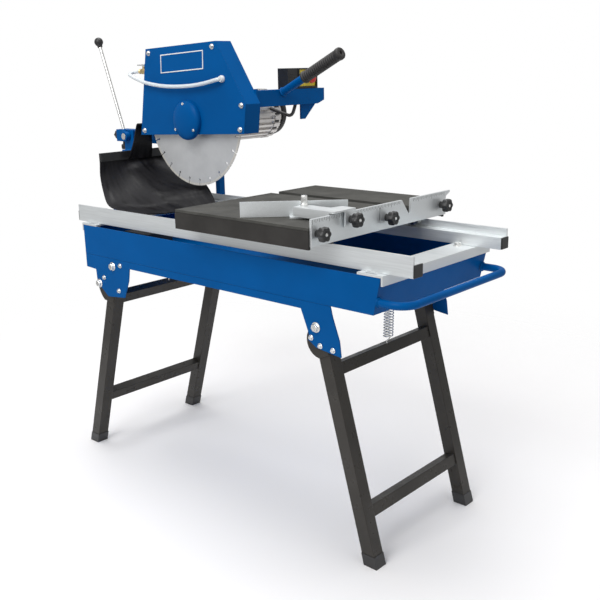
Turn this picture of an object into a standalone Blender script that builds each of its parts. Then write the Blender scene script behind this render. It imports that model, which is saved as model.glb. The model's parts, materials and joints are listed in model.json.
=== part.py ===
"""Bench tile and block cutter on folding legs: every sub-part is one closed solid in its own object.

The design datum puts X = 0 under the blade's centre with +X along the rails towards the operator, Y = 0 on the
near rail's outer face with +Y across the machine, and Z = 0 on the floor.  Sizes are in millimetres in that
datum; to_world() turns them into metres about the centre of the machine's footprint.
"""
import math

import bmesh
import bpy
from mathutils import Matrix, Vector

MM = 0.001
GAP = 0.3                                   # clearance kept between solids that touch

# ---------------------------------------------------------------- driving dimensions (mm)
CENTRE_X, CENTRE_Y = 220.8, 249.15          # middle of the footprint in the design datum

RAIL_X0, RAIL_X1 = -169.0, 873.0
RAIL_PITCH = 342.0                          # over the outer faces of the two rails
RAIL_W, RAIL_TUBE_H, RAIL_WALL_H = 27.0, 25.0, 41.0
RAIL_Z = 621.0                              # underside of the rails
CROSSBAR_T, CROSSBAR_W, CROSSBAR_DROP = 4.5, 60.0, 20.0

TRAY_X0, TRAY_X1, TRAY_X1_BOTTOM = -130.0, 812.0, 796.0
TRAY_Y0, TRAY_Y1 = -16.0, 371.0
TRAY_Z0, TRAY_Z1 = 542.0, 615.7
SHEET = 2.5                                 # sheet-metal thickness

LEG = 30.0
LEG_WALL = 2.5
FOOT_PLUG = 24.0                            # length of the solid plug in each foot
BRACE = 25.0
FRONT_PIVOT_X, FRONT_PIVOT_Z, FRONT_LEAN = 653.0, 491.0, 15.2
REAR_PIVOT_X, REAR_PIVOT_Z, REAR_LEAN = -18.0, 523.0, -16.9
LEG_Y_NEAR, LEG_Y_FAR = -9.5, 334.5         # near faces of the two legs of a pair
UPPER_BRACE_AT, LOWER_BRACE_AT = 94.0, 398.0

TABLE_X0, TABLE_X1 = 291.0, 677.0
TABLE_Y0, TABLE_Y1 = -62.0, 404.0
TABLE_TOP = 701.0
PAN_TOP = 695.0
FENCE_T, FENCE_TOP, FENCE_BOTTOM = 5.0, 718.0, 665.0
ROLLER_R, ROLLER_W = 20.0, 12.0
ROLLER_X = (335.0, 645.0)

BLADE_R, BLADE_T, BORE_R = 175.0, 2.8, 13.0
BLADE_Y, BLADE_Z = 262.0, 870.0
SEGMENTS = 25
SLOT_DEPTH, SLOT_W, KEYHOLE_R = 15.0, 2.6, 3.6
TILT_Z = 684.0                              # the blade plane meets the tilt axis here, under the table top
HEAD_PIVOT_X, HEAD_PIVOT_Z = -324.0, 810.0

GUARD_Y0, GUARD_Y1 = 239.7, 287.7
GUARD = [(-153.0, 1047.0), (120.0, 1059.0), (218.0, 909.0), (209.0, 838.0), (-195.0, 822.0)]
COVER_T = 2.7
MOTOR_R, MOTOR_Y0, MOTOR_Y1 = 67.0, 294.3, 538.0
FINS = 26

SHEET_COLOURS = {
    "blue_paint": ((0.0, 0.075, 0.30, 1.0), 0.35, 0.0),
    "aluminium": ((0.72, 0.74, 0.75, 1.0), 0.38, 1.0),
    "dark_steel": ((0.06, 0.056, 0.05, 1.0), 0.45, 0.4),
    "rubber_mat": ((0.07, 0.066, 0.06, 1.0), 0.8, 0.0),
    "black_rubber": ((0.018, 0.018, 0.02, 1.0), 0.4, 0.0),
    "black_plastic": ((0.02, 0.02, 0.02, 1.0), 0.4, 0.0),
    "table_paint": ((0.075, 0.07, 0.066, 1.0), 0.6, 0.0),
    "blade_steel": ((0.42, 0.43, 0.44, 1.0), 0.35, 1.0),
    "zinc": ((0.66, 0.66, 0.64, 1.0), 0.3, 1.0),
    "motor_silver": ((0.45, 0.43, 0.41, 1.0), 0.4, 0.9),
    "clear_hose": ((0.85, 0.92, 0.95, 0.5), 0.1, 0.0),
    "stop_red": ((0.6, 0.02, 0.02, 1.0), 0.35, 0.0),
    "brass": ((0.65, 0.47, 0.2, 1.0), 0.35, 1.0),
}


def to_world(x, y, z):
    """A point of the design datum, in metres about the middle of the footprint."""
    return Vector(((x - CENTRE_X) * MM, (y - CENTRE_Y) * MM, z * MM))


# ---------------------------------------------------------------- scene and bodies
for old in list(bpy.data.objects):
    bpy.data.objects.remove(old, do_unlink=True)


def material(name):
    found = bpy.data.materials.get(name)
    if found:
        return found
    colour, roughness, metallic = SHEET_COLOURS[name]
    made = bpy.data.materials.new(name)
    made.use_nodes = True
    shader = made.node_tree.nodes["Principled BSDF"]
    shader.inputs["Base Color"].default_value = colour
    shader.inputs["Roughness"].default_value = roughness
    shader.inputs["Metallic"].default_value = metallic
    return made


BODIES = {}


def body(name, point, parent=None):
    """An empty on the body's joint axis; the body's solids are its children."""
    empty = bpy.data.objects.new("axis_" + name, None)
    bpy.context.collection.objects.link(empty)
    origin = to_world(*point)
    if parent:
        empty.parent = BODIES[parent][0]
        empty.location = origin - BODIES[parent][1]
    else:
        empty.location = origin
    BODIES[name] = (empty, origin)


def to_object(name, bm, body_name):
    """A bmesh in datum millimetres becomes an object whose origin lies on its body's joint axis."""
    bmesh.ops.recalc_face_normals(bm, faces=bm.faces)
    parent, origin = BODIES[body_name]
    for vert in bm.verts:
        vert.co = to_world(*vert.co) - origin
    mesh = bpy.data.meshes.new(name)
    bm.to_mesh(mesh)
    bm.free()
    made = bpy.data.objects.new(name, mesh)
    made.parent = parent
    bpy.context.collection.objects.link(made)
    return made


def solid(name, bm, material_name, body_name, add=(), cut=(), weld=()):
    """The finished node: its own mesh, joined with the add meshes, then cut, then joined with the weld meshes."""
    made = to_object(name, bm, body_name)
    made.data.materials.append(material(material_name))
    for step, operation, tools in (("add", "UNION", add), ("cut", "DIFFERENCE", cut), ("weld", "UNION", weld)):
        for index, tool in enumerate(tools):
            helper = to_object(f"{name}_{step}_{index}", tool, body_name)
            helper.hide_render = True
            helper.display_type = "WIRE"
            modifier = made.modifiers.new(f"{step}_{index}", "BOOLEAN")
            modifier.operation = operation
            modifier.object = helper
    made.data.shade_smooth()
    made.data.set_sharp_from_angle(angle=math.radians(32))


# ---------------------------------------------------------------- shape helpers (datum millimetres)
AXES = {"x": (1, 2, 0), "y": (0, 2, 1), "z": (0, 1, 2)}


def loft(bm, rings, closed=False):
    """Skin a list of rings of points with quads, capping the ends unless the skin closes on itself."""
    made = [[bm.verts.new(point) for point in ring] for ring in rings]
    spans = list(zip(made, made[1:] + made[:1])) if closed else list(zip(made, made[1:]))
    for first, second in spans:
        for i in range(len(first)):
            j = (i + 1) % len(first)
            bm.faces.new((first[i], first[j], second[j], second[i]))
    if not closed:
        bm.faces.new(made[0])
        bm.faces.new(list(reversed(made[-1])))
    return bm


def prism(outline, axis, low, high, bm=None):
    """A 2-D outline extruded along an axis; the outline's plane is the other two axes in X, Y, Z order."""
    bm = bm or bmesh.new()
    first, second, along = AXES[axis]

    def ring(level):
        points = []
        for a, b in outline:
            point = [0.0, 0.0, 0.0]
            point[first], point[second], point[along] = a, b, level
            points.append(point)
        return points

    return loft(bm, [ring(low), ring(high)])


def box(low, high, bm=None):
    (x0, y0, z0), (x1, y1, z1) = low, high
    return prism([(x0, y0), (x1, y0), (x1, y1), (x0, y1)], "z", z0, z1, bm)


def circle(centre, radius, count, start=0.0):
    step = 2 * math.pi / count
    return [(centre[0] + radius * math.cos(start + i * step), centre[1] + radius * math.sin(start + i * step))
            for i in range(count)]


def arc(centre, radius, start_deg, end_deg, steps):
    span = math.radians(end_deg - start_deg) / steps
    begin = math.radians(start_deg)
    return [(centre[0] + radius * math.cos(begin + i * span), centre[1] + radius * math.sin(begin + i * span))
            for i in range(steps + 1)]


def frame_on(direction):
    """Two unit vectors square to a direction."""
    direction = direction.normalized()
    side = Vector((0, 1, 0)) if abs(direction.y) < 0.9 else Vector((1, 0, 0))
    first = (side - direction * side.dot(direction)).normalized()
    return first, direction.cross(first)


def lathe(profile, origin, direction, count=32, bm=None):
    """A profile of (radius, height) points turned about an axis; points of zero radius become poles."""
    bm = bm or bmesh.new()
    origin, direction = Vector(origin), Vector(direction).normalized()
    first, second = frame_on(direction)
    rings = []
    for radius, height in profile:
        centre = origin + direction * height
        if radius == 0:
            rings.append([bm.verts.new(centre)])
            continue
        ring = []
        for i in range(count):
            angle = 2 * math.pi * i / count
            ring.append(bm.verts.new(centre + (first * math.cos(angle) + second * math.sin(angle)) * radius))
        rings.append(ring)
    closes = profile[0][0] > 0 and profile[-1][0] > 0
    pairs = list(zip(rings, rings[1:] + rings[:1])) if closes else list(zip(rings, rings[1:]))
    for low, high in pairs:
        for i in range(count):
            j = (i + 1) % count
            corners = [low[i % len(low)], low[j % len(low)], high[j % len(high)], high[i % len(high)]]
            corners = list(dict.fromkeys(corners))
            if len(corners) > 2:
                bm.faces.new(corners)
    return bm


def rod(start, end, radius, count=16, bm=None):
    start, end = Vector(start), Vector(end)
    length = (end - start).length
    return lathe([(0, 0), (radius, 0), (radius, length), (0, length)], start, end - start, count, bm)


def ring_bar(start, end, outer, inner, count=24):
    start, end = Vector(start), Vector(end)
    length = (end - start).length
    return lathe([(inner, 0), (outer, 0), (outer, length), (inner, length)], start, end - start, count)


def sweep(points, radius, count=8, bm=None):
    """A round bar along a path, with its sections carried along without twist."""
    bm = bm or bmesh.new()
    points = [Vector(point) for point in points]
    tangents = []
    for i in range(len(points)):
        before, after = points[max(i - 1, 0)], points[min(i + 1, len(points) - 1)]
        tangents.append((after - before).normalized())
    first, _ = frame_on(tangents[0])
    rings = []
    for point, tangent in zip(points, tangents):
        first = (first - tangent * first.dot(tangent)).normalized()
        second = tangent.cross(first)
        step = 2 * math.pi / count
        rings.append([point + (first * math.cos(i * step) + second * math.sin(i * step)) * radius
                      for i in range(count)])
    return loft(bm, rings)


def smooth_path(points, samples):
    """Catmull-Rom curve through hand-picked points."""
    points = [Vector(point) for point in points]
    padded = [points[0] * 2 - points[1]] + points + [points[-1] * 2 - points[-2]]
    path = []
    for a, b, c, d in zip(padded, padded[1:], padded[2:], padded[3:]):
        for i in range(samples):
            t = i / samples
            path.append(0.5 * (2 * b + (c - a) * t + (2 * a - 5 * b + 4 * c - d) * t * t
                               + (3 * b - a - 3 * c + d) * t ** 3))
    return path + [points[-1]]


def offset_outline(outline, distances):
    """Move each edge of a clockwise outline inwards by its own distance and meet the moved edges again."""
    moved = []
    for i, distance in enumerate(distances):
        start, end = Vector(outline[i]), Vector(outline[(i + 1) % len(outline)])
        along = (end - start).normalized()
        inward = Vector((along.y, -along.x))
        moved.append((start + inward * distance, along))
    corners = []
    for i in range(len(moved)):
        (p, u), (q, v) = moved[i - 1], moved[i]
        cross = u.x * v.y - u.y * v.x
        t = ((q.x - p.x) * v.y - (q.y - p.y) * v.x) / cross
        corners.append(tuple(p + u * t))
    return corners


def leg_tube(start, end, size, wall):
    """A square tube, open at the top and plugged at its foot, which is cut level with the floor."""
    start, end = Vector(start), Vector(end)
    along = (end - start).normalized()
    side = Vector((0, 1, 0))
    across = side.cross(along).normalized()

    def ring(point, half, level=False):
        corners = []
        for sy, sx in ((-1, -1), (1, -1), (1, 1), (-1, 1)):
            corner = point + side * (sy * half) + across * (sx * half)
            if level:
                corner += along * ((point.z - corner.z) / along.z)
            corners.append(corner)
        return corners

    half = size / 2
    plug = end - along * FOOT_PLUG
    return loft(bmesh.new(), [ring(plug, half - wall), ring(start, half - wall), ring(start, half),
                              ring(end, half, level=True)])


def mirrored(value):
    """The far side's place of something measured from the near rail."""
    return RAIL_PITCH - value


def star_knob(base, direction, radius, depth, lobes=6):
    """A moulded star grip on its neck, seen from the screw's end outwards."""
    direction = Vector(direction).normalized()
    first, second = frame_on(direction)
    base = Vector(base)
    neck = depth * 0.35
    steps = lobes * 4

    def ring(height, scale):
        points = []
        for i in range(steps):
            angle = 2 * math.pi * i / steps
            reach = radius * scale * (0.9 + 0.1 * math.cos(lobes * angle))
            points.append(base + direction * height
                          + (first * math.cos(angle) + second * math.sin(angle)) * reach)
        return points

    return loft(bmesh.new(), [ring(0, 0.5), ring(neck, 0.55), ring(neck + 1, 1.0), ring(depth - 2, 1.0),
                              ring(depth, 0.82)])


# ---------------------------------------------------------------- bodies and their joint axes
body("frame", (0, 0, 0))
body("front_legs", (FRONT_PIVOT_X, RAIL_PITCH / 2, FRONT_PIVOT_Z))
body("rear_legs", (REAR_PIVOT_X, RAIL_PITCH / 2, REAR_PIVOT_Z))
body("table", ((TABLE_X0 + TABLE_X1) / 2, RAIL_PITCH / 2, PAN_TOP))
body("tilt_frame", (HEAD_PIVOT_X, BLADE_Y, TILT_Z))
body("head", (HEAD_PIVOT_X, 314.0, HEAD_PIVOT_Z), "tilt_frame")
body("blade_set", (0, BLADE_Y, BLADE_Z), "head")
body("lock_lever", (HEAD_PIVOT_X, 279.5, HEAD_PIVOT_Z), "tilt_frame")


# ---------------------------------------------------------------- rails and crossbars
def rail(name, place):
    """Square tube with a taller wall on its outer side; place() puts a near-side Y on either side."""
    outline = [(0, RAIL_Z), (RAIL_W, RAIL_Z), (RAIL_W, RAIL_Z + RAIL_TUBE_H), (4, RAIL_Z + RAIL_TUBE_H),
               (4, RAIL_Z + RAIL_WALL_H), (0, RAIL_Z + RAIL_WALL_H)]
    hollow = [(3, RAIL_Z + 3), (RAIL_W - 3, RAIL_Z + 3), (RAIL_W - 3, RAIL_Z + RAIL_TUBE_H - 3),
              (3, RAIL_Z + RAIL_TUBE_H - 3)]
    solid(name, prism([(place(y), z) for y, z in outline], "x", RAIL_X0, RAIL_X1), "aluminium", "frame",
          cut=[prism([(place(y), z) for y, z in hollow], "x", RAIL_X0 - 5, RAIL_X1 + 5)])


rail("rail_near", lambda y: y)
rail("rail_far", mirrored)


def crossbar(name, outer_x, inward):
    """Angle bar over the tray's end wall: a flange under the rails and a lip down the outside."""
    top = RAIL_Z - GAP
    lip = outer_x - inward * 4
    inner = outer_x - inward * CROSSBAR_W
    outline = [(inner, top - CROSSBAR_T), (inner, top), (outer_x, top), (outer_x, top - CROSSBAR_DROP),
               (lip, top - CROSSBAR_DROP), (lip, top - CROSSBAR_T)]
    slots = []
    for y in (TRAY_Y0 + 4, TRAY_Y1 - 12):
        middle = outer_x - inward * 32
        slots.append(box((middle - 14, y, top - 10), (middle + 14, y + 6, top + 5)))
    solid(name, prism(outline, "y", TRAY_Y0, TRAY_Y1), "aluminium", "frame", cut=slots)


crossbar("crossbar_front", TRAY_X1 + 4.8, 1)
crossbar("crossbar_rear", TRAY_X0 - 4.8, -1)


# ---------------------------------------------------------------- water tray, bumper and pump
def tray():
    outer = prism([(TRAY_X0, TRAY_Z0), (TRAY_X1_BOTTOM, TRAY_Z0), (TRAY_X1, TRAY_Z1), (TRAY_X0, TRAY_Z1)],
                  "y", TRAY_Y0, TRAY_Y1)
    slope = (TRAY_X1 - TRAY_X1_BOTTOM) / (TRAY_Z1 - TRAY_Z0)
    rise = TRAY_Z1 + 5 - TRAY_Z0
    inner = prism([(TRAY_X0 + SHEET, TRAY_Z0 + SHEET), (TRAY_X1_BOTTOM - SHEET + slope * SHEET, TRAY_Z0 + SHEET),
                   (TRAY_X1_BOTTOM - SHEET + slope * rise, TRAY_Z0 + rise), (TRAY_X0 + SHEET, TRAY_Z0 + rise)],
                  "y", TRAY_Y0 + SHEET, TRAY_Y1 - SHEET)
    solid("tray", outer, "blue_paint", "frame", cut=[inner])


tray()

BUMPER_R, BUMPER_Z, BUMPER_X, BUMPER_BEND = 8.0, 567.0, 866.0, 36.0
BUMPER_Y0, BUMPER_Y1 = -10.0, 365.0


def bumper():
    """Round bar bent into a U and butted on the tray's sloped front wall."""
    root_x = TRAY_X1 - 8
    path = [(root_x, BUMPER_Y0)]
    path += arc((BUMPER_X - BUMPER_BEND, BUMPER_Y0 + BUMPER_BEND), BUMPER_BEND, -90, 0, 6)
    path += arc((BUMPER_X - BUMPER_BEND, BUMPER_Y1 - BUMPER_BEND), BUMPER_BEND, 0, 90, 6)
    path += [(root_x, BUMPER_Y1)]
    solid("bumper_bar", sweep([(x, y, BUMPER_Z) for x, y in path], BUMPER_R, 12), "blue_paint", "frame")


bumper()

PUMP = ((-40.0, 45.0, TRAY_Z0 + SHEET + GAP), (50.0, 125.0, 600.0))
solid("water_pump", box(*PUMP), "black_plastic", "frame", add=[rod((5, 85, 595), (5, 85, 609), 9, 12)])


# ---------------------------------------------------------------- folding legs and what they hang on
def leg_mount(name, y_low):
    """Side strip under the tray with the two leg brackets cut in one piece."""
    top = TRAY_Z0 - GAP - 0.2
    lip = 524.5
    outline = [(TRAY_X0, top), (690, top), (696, 519), (713, 473), (717, 441), (653, 449), (632, 462),
               (634, 474), (613, lip), (49, lip), (43, 493), (22, 447), (-46, 440), (-88, 470), (-91, 505),
               (TRAY_X0, 507)]
    solid(name, prism(outline, "y", y_low, y_low + 3), "blue_paint", "frame")


leg_mount("leg_mount_near", TRAY_Y0)
leg_mount("leg_mount_far", TRAY_Y1 - 3)


def along_leg(pivot, lean_deg, distance):
    lean = math.radians(lean_deg)
    return pivot[0] + distance * math.sin(lean), pivot[1] - distance * math.cos(lean)


def leg_pair(tag, body_name, pivot, lean_deg, cam_centre, cam_r, cam_span):
    """Two square tubes with a rounded hinge plate at the top, joined by two braces."""
    lean = math.radians(lean_deg)
    length = pivot[1] / math.cos(lean)
    top = along_leg(pivot, lean_deg, -8)
    foot = (pivot[0] + length * math.sin(lean), 0.0)

    def local(u, v):
        """u runs down the leg from its pivot and v towards -X."""
        return (pivot[0] + u * math.sin(lean) - v * math.cos(lean),
                pivot[1] - u * math.cos(lean) - v * math.sin(lean))

    bulge = [local(cam_centre + cam_r * math.cos(a), cam_r * math.sin(a))
             for a in [math.radians(cam_span[0] + (cam_span[1] - cam_span[0]) * i / 10) for i in range(11)]]
    cam = [local(-8, -14.5), local(-8, 14.5)] + bulge + [local(cam_centre + cam_r * 0.8, -14.5)]
    for side, y, plate in (("near", LEG_Y_NEAR, -3.2), ("far", LEG_Y_FAR, LEG)):
        middle = y + LEG / 2
        tube = leg_tube((top[0], middle, top[1]), (foot[0], middle, foot[1]), LEG, LEG_WALL)
        inner = -0.5 if side == "far" else 0.5
        low = y + plate + (inner if side == "far" else 0)
        high = low + 3.2 + (0 if side == "far" else inner)
        solid(f"{tag}_leg_{side}", tube, "dark_steel", body_name, add=[prism(cam, "y", low, high)])
    for brace, distance in (("upper", UPPER_BRACE_AT), ("lower", LOWER_BRACE_AT)):
        u0, v0 = along_leg(pivot, lean_deg, distance)
        square = [local(distance + du, dv) for du, dv in
                  ((-BRACE / 2, -BRACE / 2), (BRACE / 2, -BRACE / 2), (BRACE / 2, BRACE / 2),
                   (-BRACE / 2, BRACE / 2))]
        inner_square = [(u0 + (x - u0) * 0.8, v0 + (z - v0) * 0.8) for x, z in square]
        low, high = LEG_Y_NEAR + LEG + GAP, LEG_Y_FAR - GAP
        rings = [[(x, low, z) for x, z in square], [(x, high, z) for x, z in square],
                 [(x, high, z) for x, z in inner_square], [(x, low, z) for x, z in inner_square]]
        solid(f"{tag}_brace_{brace}", loft(bmesh.new(), rings, closed=True), "dark_steel", body_name)


leg_pair("front", "front_legs", (FRONT_PIVOT_X, FRONT_PIVOT_Z), FRONT_LEAN, 30.0, 36.0, (160, 20))
leg_pair("rear", "rear_legs", (REAR_PIVOT_X, REAR_PIVOT_Z), REAR_LEAN, 52.0, 58.0, (140, 20))

SPRING_R, WIRE_R, SPRING_Y, SPRING_TURNS = 10.0, 1.3, 171.0, 11


def spring(name, top, bottom):
    """Extension spring from the tray's floor to a brace, with a short hook at each end."""
    top, bottom = Vector(top), Vector(bottom)
    axis = (bottom - top).normalized()
    first, second = frame_on(axis)
    start, end = top + axis * 14, bottom - axis * 12
    path = [top, top + axis * 8]
    steps = SPRING_TURNS * 8
    for i in range(steps + 1):
        angle = 2 * math.pi * i / 8
        centre = start + (end - start) * (i / steps)
        path.append(centre + (first * math.cos(angle) + second * math.sin(angle)) * SPRING_R)
    path += [bottom - axis * 6, bottom]
    solid(name, sweep(path, WIRE_R, 5), "zinc", "frame")


spring("front_leg_spring", (697, SPRING_Y, TRAY_Z0 - 1), (694, SPRING_Y, 418))
spring("rear_leg_spring", (-18, SPRING_Y, TRAY_Z0 - 1), (-30, SPRING_Y, 447))

# ---------------------------------------------------------------- rolling table
SLOT = [(266.0, 720.0), (266.0, TILT_Z), (258.0, TILT_Z), (258.0 - 36.0, TILT_Z + 36.0)]


def table_pan():
    """Upturned sheet-steel pan with four roller carriers welded under it and the blade slot cut along it."""
    outer = box((TABLE_X0, TABLE_Y0, 659), (TABLE_X1, TABLE_Y1, PAN_TOP))
    hollow = box((TABLE_X0 + 3, TABLE_Y0 + 3, 640), (TABLE_X1 - 3, TABLE_Y1 - 3, PAN_TOP - 3))
    rail_way = box((TABLE_X0 - 5, TABLE_Y0 + 6, 640), (TABLE_X1 + 5, TABLE_Y1 - 6, 666))
    carriers = []
    for x in ROLLER_X:
        for place in (lambda y: y, mirrored):
            low, high = sorted((place(30), place(34)))
            carriers.append(box((x - 14, low, 654), (x + 14, high, PAN_TOP - 1)))
            carriers.append(rod((x, place(33), 666.3), (x, place(6), 666.3), 4.8, 12))
    cutter = prism(SLOT, "x", TABLE_X0 - 10, TABLE_X1 + 10)
    solid("table_pan", outer, "table_paint", "table", cut=[hollow, rail_way, cutter], weld=carriers)


table_pan()

MAT_Z0 = PAN_TOP + GAP
solid("mat_near", prism([(TABLE_Y0 + 1, MAT_Z0), (258 - (MAT_Z0 - TILT_Z) - 1, MAT_Z0),
                         (258 - (TABLE_TOP - TILT_Z) - 1, TABLE_TOP), (TABLE_Y0 + 1, TABLE_TOP)],
                        "x", TABLE_X0 + 1, TABLE_X1 - 0.2), "rubber_mat", "table")
solid("mat_far", box((TABLE_X0 + 1, 267, MAT_Z0), (TABLE_X1 - 0.2, TABLE_Y1 - 1, TABLE_TOP)),
      "rubber_mat", "table")

FENCE_X = TABLE_X1 + GAP
FENCE_FACE = FENCE_X + FENCE_T
fence_outline = [(-58, FENCE_BOTTOM), (403, FENCE_BOTTOM), (403, 706), (419, 714), (419, FENCE_TOP),
                 (267, FENCE_TOP), (265, 685), (259, 685), (233, FENCE_TOP), (-58, FENCE_TOP)]
solid("fence_plate", prism(fence_outline, "x", FENCE_X, FENCE_FACE), "aluminium", "table",
      cut=[box((FENCE_X - 5, 153, 686), (FENCE_FACE + 5, 158, 712))])

for end, x in zip(("rear", "front"), ROLLER_X):
    for side, place in (("near", lambda y: y), ("far", mirrored)):
        tag = f"roller_{end}_{side}"
        body(tag, (x, place(13), 666.3), "table")
        solid(tag, ring_bar((x, place(7), 666.3), (x, place(7 + ROLLER_W), 666.3), ROLLER_R - GAP, 5.2),
              "zinc", tag)

for index, (y, z) in enumerate(((-42.0, 689.0), (178.0, 689.0), (382.0, 689.0)), 1):
    tag = f"fence_knob_{index}"
    body(tag, (FENCE_FACE, y, z), "table")
    solid(tag, star_knob((FENCE_FACE + GAP, y, z), (1, 0, 0), 15.5, 24), "black_plastic", tag)

# ---------------------------------------------------------------- mitre gauge
STUD_X, STUD_Y = 591.0, 25.0
GAUGE_ANGLE = 43.5
ARM_TOP, ARM_UNDER = 725.0, 706.0
BAR_BEFORE, BAR_AFTER, BAR_TOP = 130.0, 89.0, 733.0
CLAMP_Y = 50.0

body("gauge_arm", (STUD_X, STUD_Y, ARM_TOP), "table")
body("gauge_bar", (STUD_X, STUD_Y, TABLE_TOP), "gauge_arm")
body("gauge_nut", (STUD_X, STUD_Y, ARM_TOP), "gauge_arm")
body("gauge_knob", (690, CLAMP_Y, 704), "gauge_arm")


def gauge():
    plate = [(583, 0), (690, 0), (690, 66), (655, 66), (650, 37)] + arc((STUD_X, STUD_Y), 12, 90, 200, 6)
    near_wall = box((583, 0, ARM_UNDER), (676, 3, ARM_TOP - 2))
    outer_cheek = box((686.5, 34, 689), (690, 66, ARM_TOP - 2))
    inner_pad = box((662, 30, ARM_UNDER), (676.6, 66, ARM_TOP - 2))
    solid("gauge_arm", prism(plate, "z", ARM_TOP - 4, ARM_TOP), "aluminium", "gauge_arm",
          add=[near_wall, outer_cheek, inner_pad], cut=[rod((STUD_X, STUD_Y, 700), (STUD_X, STUD_Y, 740), 4.6, 12)])
    turn = math.radians(GAUGE_ANGLE)
    along, across = Vector((math.cos(turn), math.sin(turn))), Vector((math.sin(turn), -math.cos(turn)))
    centre = Vector((STUD_X, STUD_Y))

    def bar_piece(s0, s1, n0, n1, z0, z1):
        corners = [centre + along * s + across * n for s, n in ((s0, n0), (s1, n0), (s1, n1), (s0, n1))]
        return prism([tuple(corner) for corner in corners], "z", z0, z1)

    solid("gauge_bar", bar_piece(-BAR_BEFORE, BAR_AFTER, -16.5, -13.5, TABLE_TOP + 0.4, BAR_TOP), "aluminium",
          "gauge_bar", add=[bar_piece(-30, 30, -14, 14, TABLE_TOP + 0.4, TABLE_TOP + 3.6),
                            rod((STUD_X, STUD_Y, TABLE_TOP + 2), (STUD_X, STUD_Y, ARM_TOP + 6), 4, 12)])
    solid("gauge_nut", lathe([(4.4, 0), (8, 0), (8, 4), (6.2, 5), (6.2, 21), (0, 21), (0, 15), (4.4, 15)],
                             (STUD_X, STUD_Y, ARM_TOP + GAP), (0, 0, 1), 20), "zinc", "gauge_nut")
    solid("gauge_knob", star_knob((690 + GAP, CLAMP_Y, 704), (1, 0, 0), 15.5, 24), "black_plastic", "gauge_knob")


gauge()

# ---------------------------------------------------------------- rear support, splash sheet and rest post
SHAFT_R = 10.0


def rear_support():
    """Bracket behind the tray with the two bearings of the tilt shaft and the splash sheet's upright."""
    wall_plate = box((-136.3, 180, 545), (TRAY_X0 - GAP, 344, 598))
    beam = box((-358, 232, 548), (-136, 292, 597))
    rear_bearing = box((-358, 242, 590), (-344, 282, 706))
    front_bearing = box((-298, 244, 590), (-265, 280, 776))
    bore = rod((-365, BLADE_Y, TILT_Z), (-250, BLADE_Y, TILT_Z), SHAFT_R + 0.3, 24)
    solid("rear_support", wall_plate, "blue_paint", "frame", add=[beam, rear_bearing, front_bearing], cut=[bore])


rear_support()


def splash_sheet():
    """Rubber sheet hung from its strip; the far side of its foot sweeps further into the tray."""
    near = smooth_path([(-261.4, 139, 776), (-261.4, 139, 748), (-264, 139, 712), (-254, 139, 669), (-234, 139, 634),
                        (-190, 140, 625), (-128, 140, 625), (-66, 140, 624), (-44, 141, 600)], 2)
    far = smooth_path([(-261.4, 391, 776), (-261.4, 389, 748), (-206, 373, 736), (-112, 342, 711), (-12, 304, 690),
                       (20, 301, 664), (36, 300, 640), (44, 299, 620), (47, 298, 596)], 2)
    columns = 9
    thickness = 3.4

    def point(i, s):
        sag = 4 * s * (1 - s)
        base = near[i].lerp(far[i], s)
        return base + Vector((-9.0, 0, -5.0)) * sag * min(1.0, max(0, i - 2) / 4)

    rows = len(near)
    front = [[point(i, j / (columns - 1)) for j in range(columns)] for i in range(rows)]
    bm = bmesh.new()
    faces = [[bm.verts.new(p) for p in row] for row in front]
    normals = []
    for i in range(rows):
        row = []
        for j in range(columns):
            down = front[min(i + 1, rows - 1)][j] - front[max(i - 1, 0)][j]
            over = front[i][min(j + 1, columns - 1)] - front[i][max(j - 1, 0)]
            row.append(down.cross(over).normalized())
        normals.append(row)
    backs = [[bm.verts.new(front[i][j] + normals[i][j] * thickness) for j in range(columns)]
             for i in range(rows)]

    def quad(a, b, c, d):
        bm.faces.new((a, b, c, d))

    for i in range(rows - 1):
        for j in range(columns - 1):
            quad(faces[i][j], faces[i][j + 1], faces[i + 1][j + 1], faces[i + 1][j])
            quad(backs[i][j], backs[i + 1][j], backs[i + 1][j + 1], backs[i][j + 1])
        for j, turn in ((0, 1), (columns - 1, 0)):
            edge = (faces[i][j], faces[i + 1][j], backs[i + 1][j], backs[i][j])
            quad(*(edge if turn else reversed(edge)))
    for j in range(columns - 1):
        quad(faces[0][j], backs[0][j], backs[0][j + 1], faces[0][j + 1])
        quad(faces[-1][j], faces[-1][j + 1], backs[-1][j + 1], backs[-1][j])
    solid("splash_sheet", bm, "black_rubber", "frame")


splash_sheet()
solid("splash_strip", box((-256.9, 139, 753), (-252.9, 392, 776)), "black_plastic", "frame")


def rest_post():
    """Post outside the far rail that the motor hangs over, with a padded shelf for transport."""
    upright = box((-92, 410, 560), (-76, 430, 796))
    foot = box((-92, TRAY_Y1 + GAP, 560), (-76, 414, 592))
    shelf = box((-88, 410, 788), (-28, 430, 796))
    solid("rest_post", upright, "blue_paint", "frame", add=[foot, shelf])


rest_post()


# ---------------------------------------------------------------- tilting pedestal and head pivot
def pedestal():
    x0, x1 = -342.0, -300.0
    web = prism([(240, 662), (286, 662), (341, 712), (341, 736), (288, 736), (240, 705)], "x", x0, x1)
    near_cheek = box((x0, 288, 715), (x1, 293.8, 828))
    far_cheek = box((x0, 334.8, 715), (x1, 341, 828))
    shaft = rod((-364, BLADE_Y, TILT_Z), (-264, BLADE_Y, TILT_Z), SHAFT_R, 24)
    bore = rod((HEAD_PIVOT_X, 280, HEAD_PIVOT_Z), (HEAD_PIVOT_X, 350, HEAD_PIVOT_Z), 9.4, 24)
    solid("tilt_pedestal", web, "blue_paint", "tilt_frame", add=[near_cheek, far_cheek, shaft], cut=[bore])
    solid("pivot_pin", lathe([(0, 0), (9, 0), (9, 70.6), (14, 70.6), (14, 76), (0, 76)],
                             (HEAD_PIVOT_X, 270.7, HEAD_PIVOT_Z), (0, 1, 0), 24), "zinc", "tilt_frame")


pedestal()

BALL = Vector((-420.0, 279.5, 1074.0))


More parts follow.
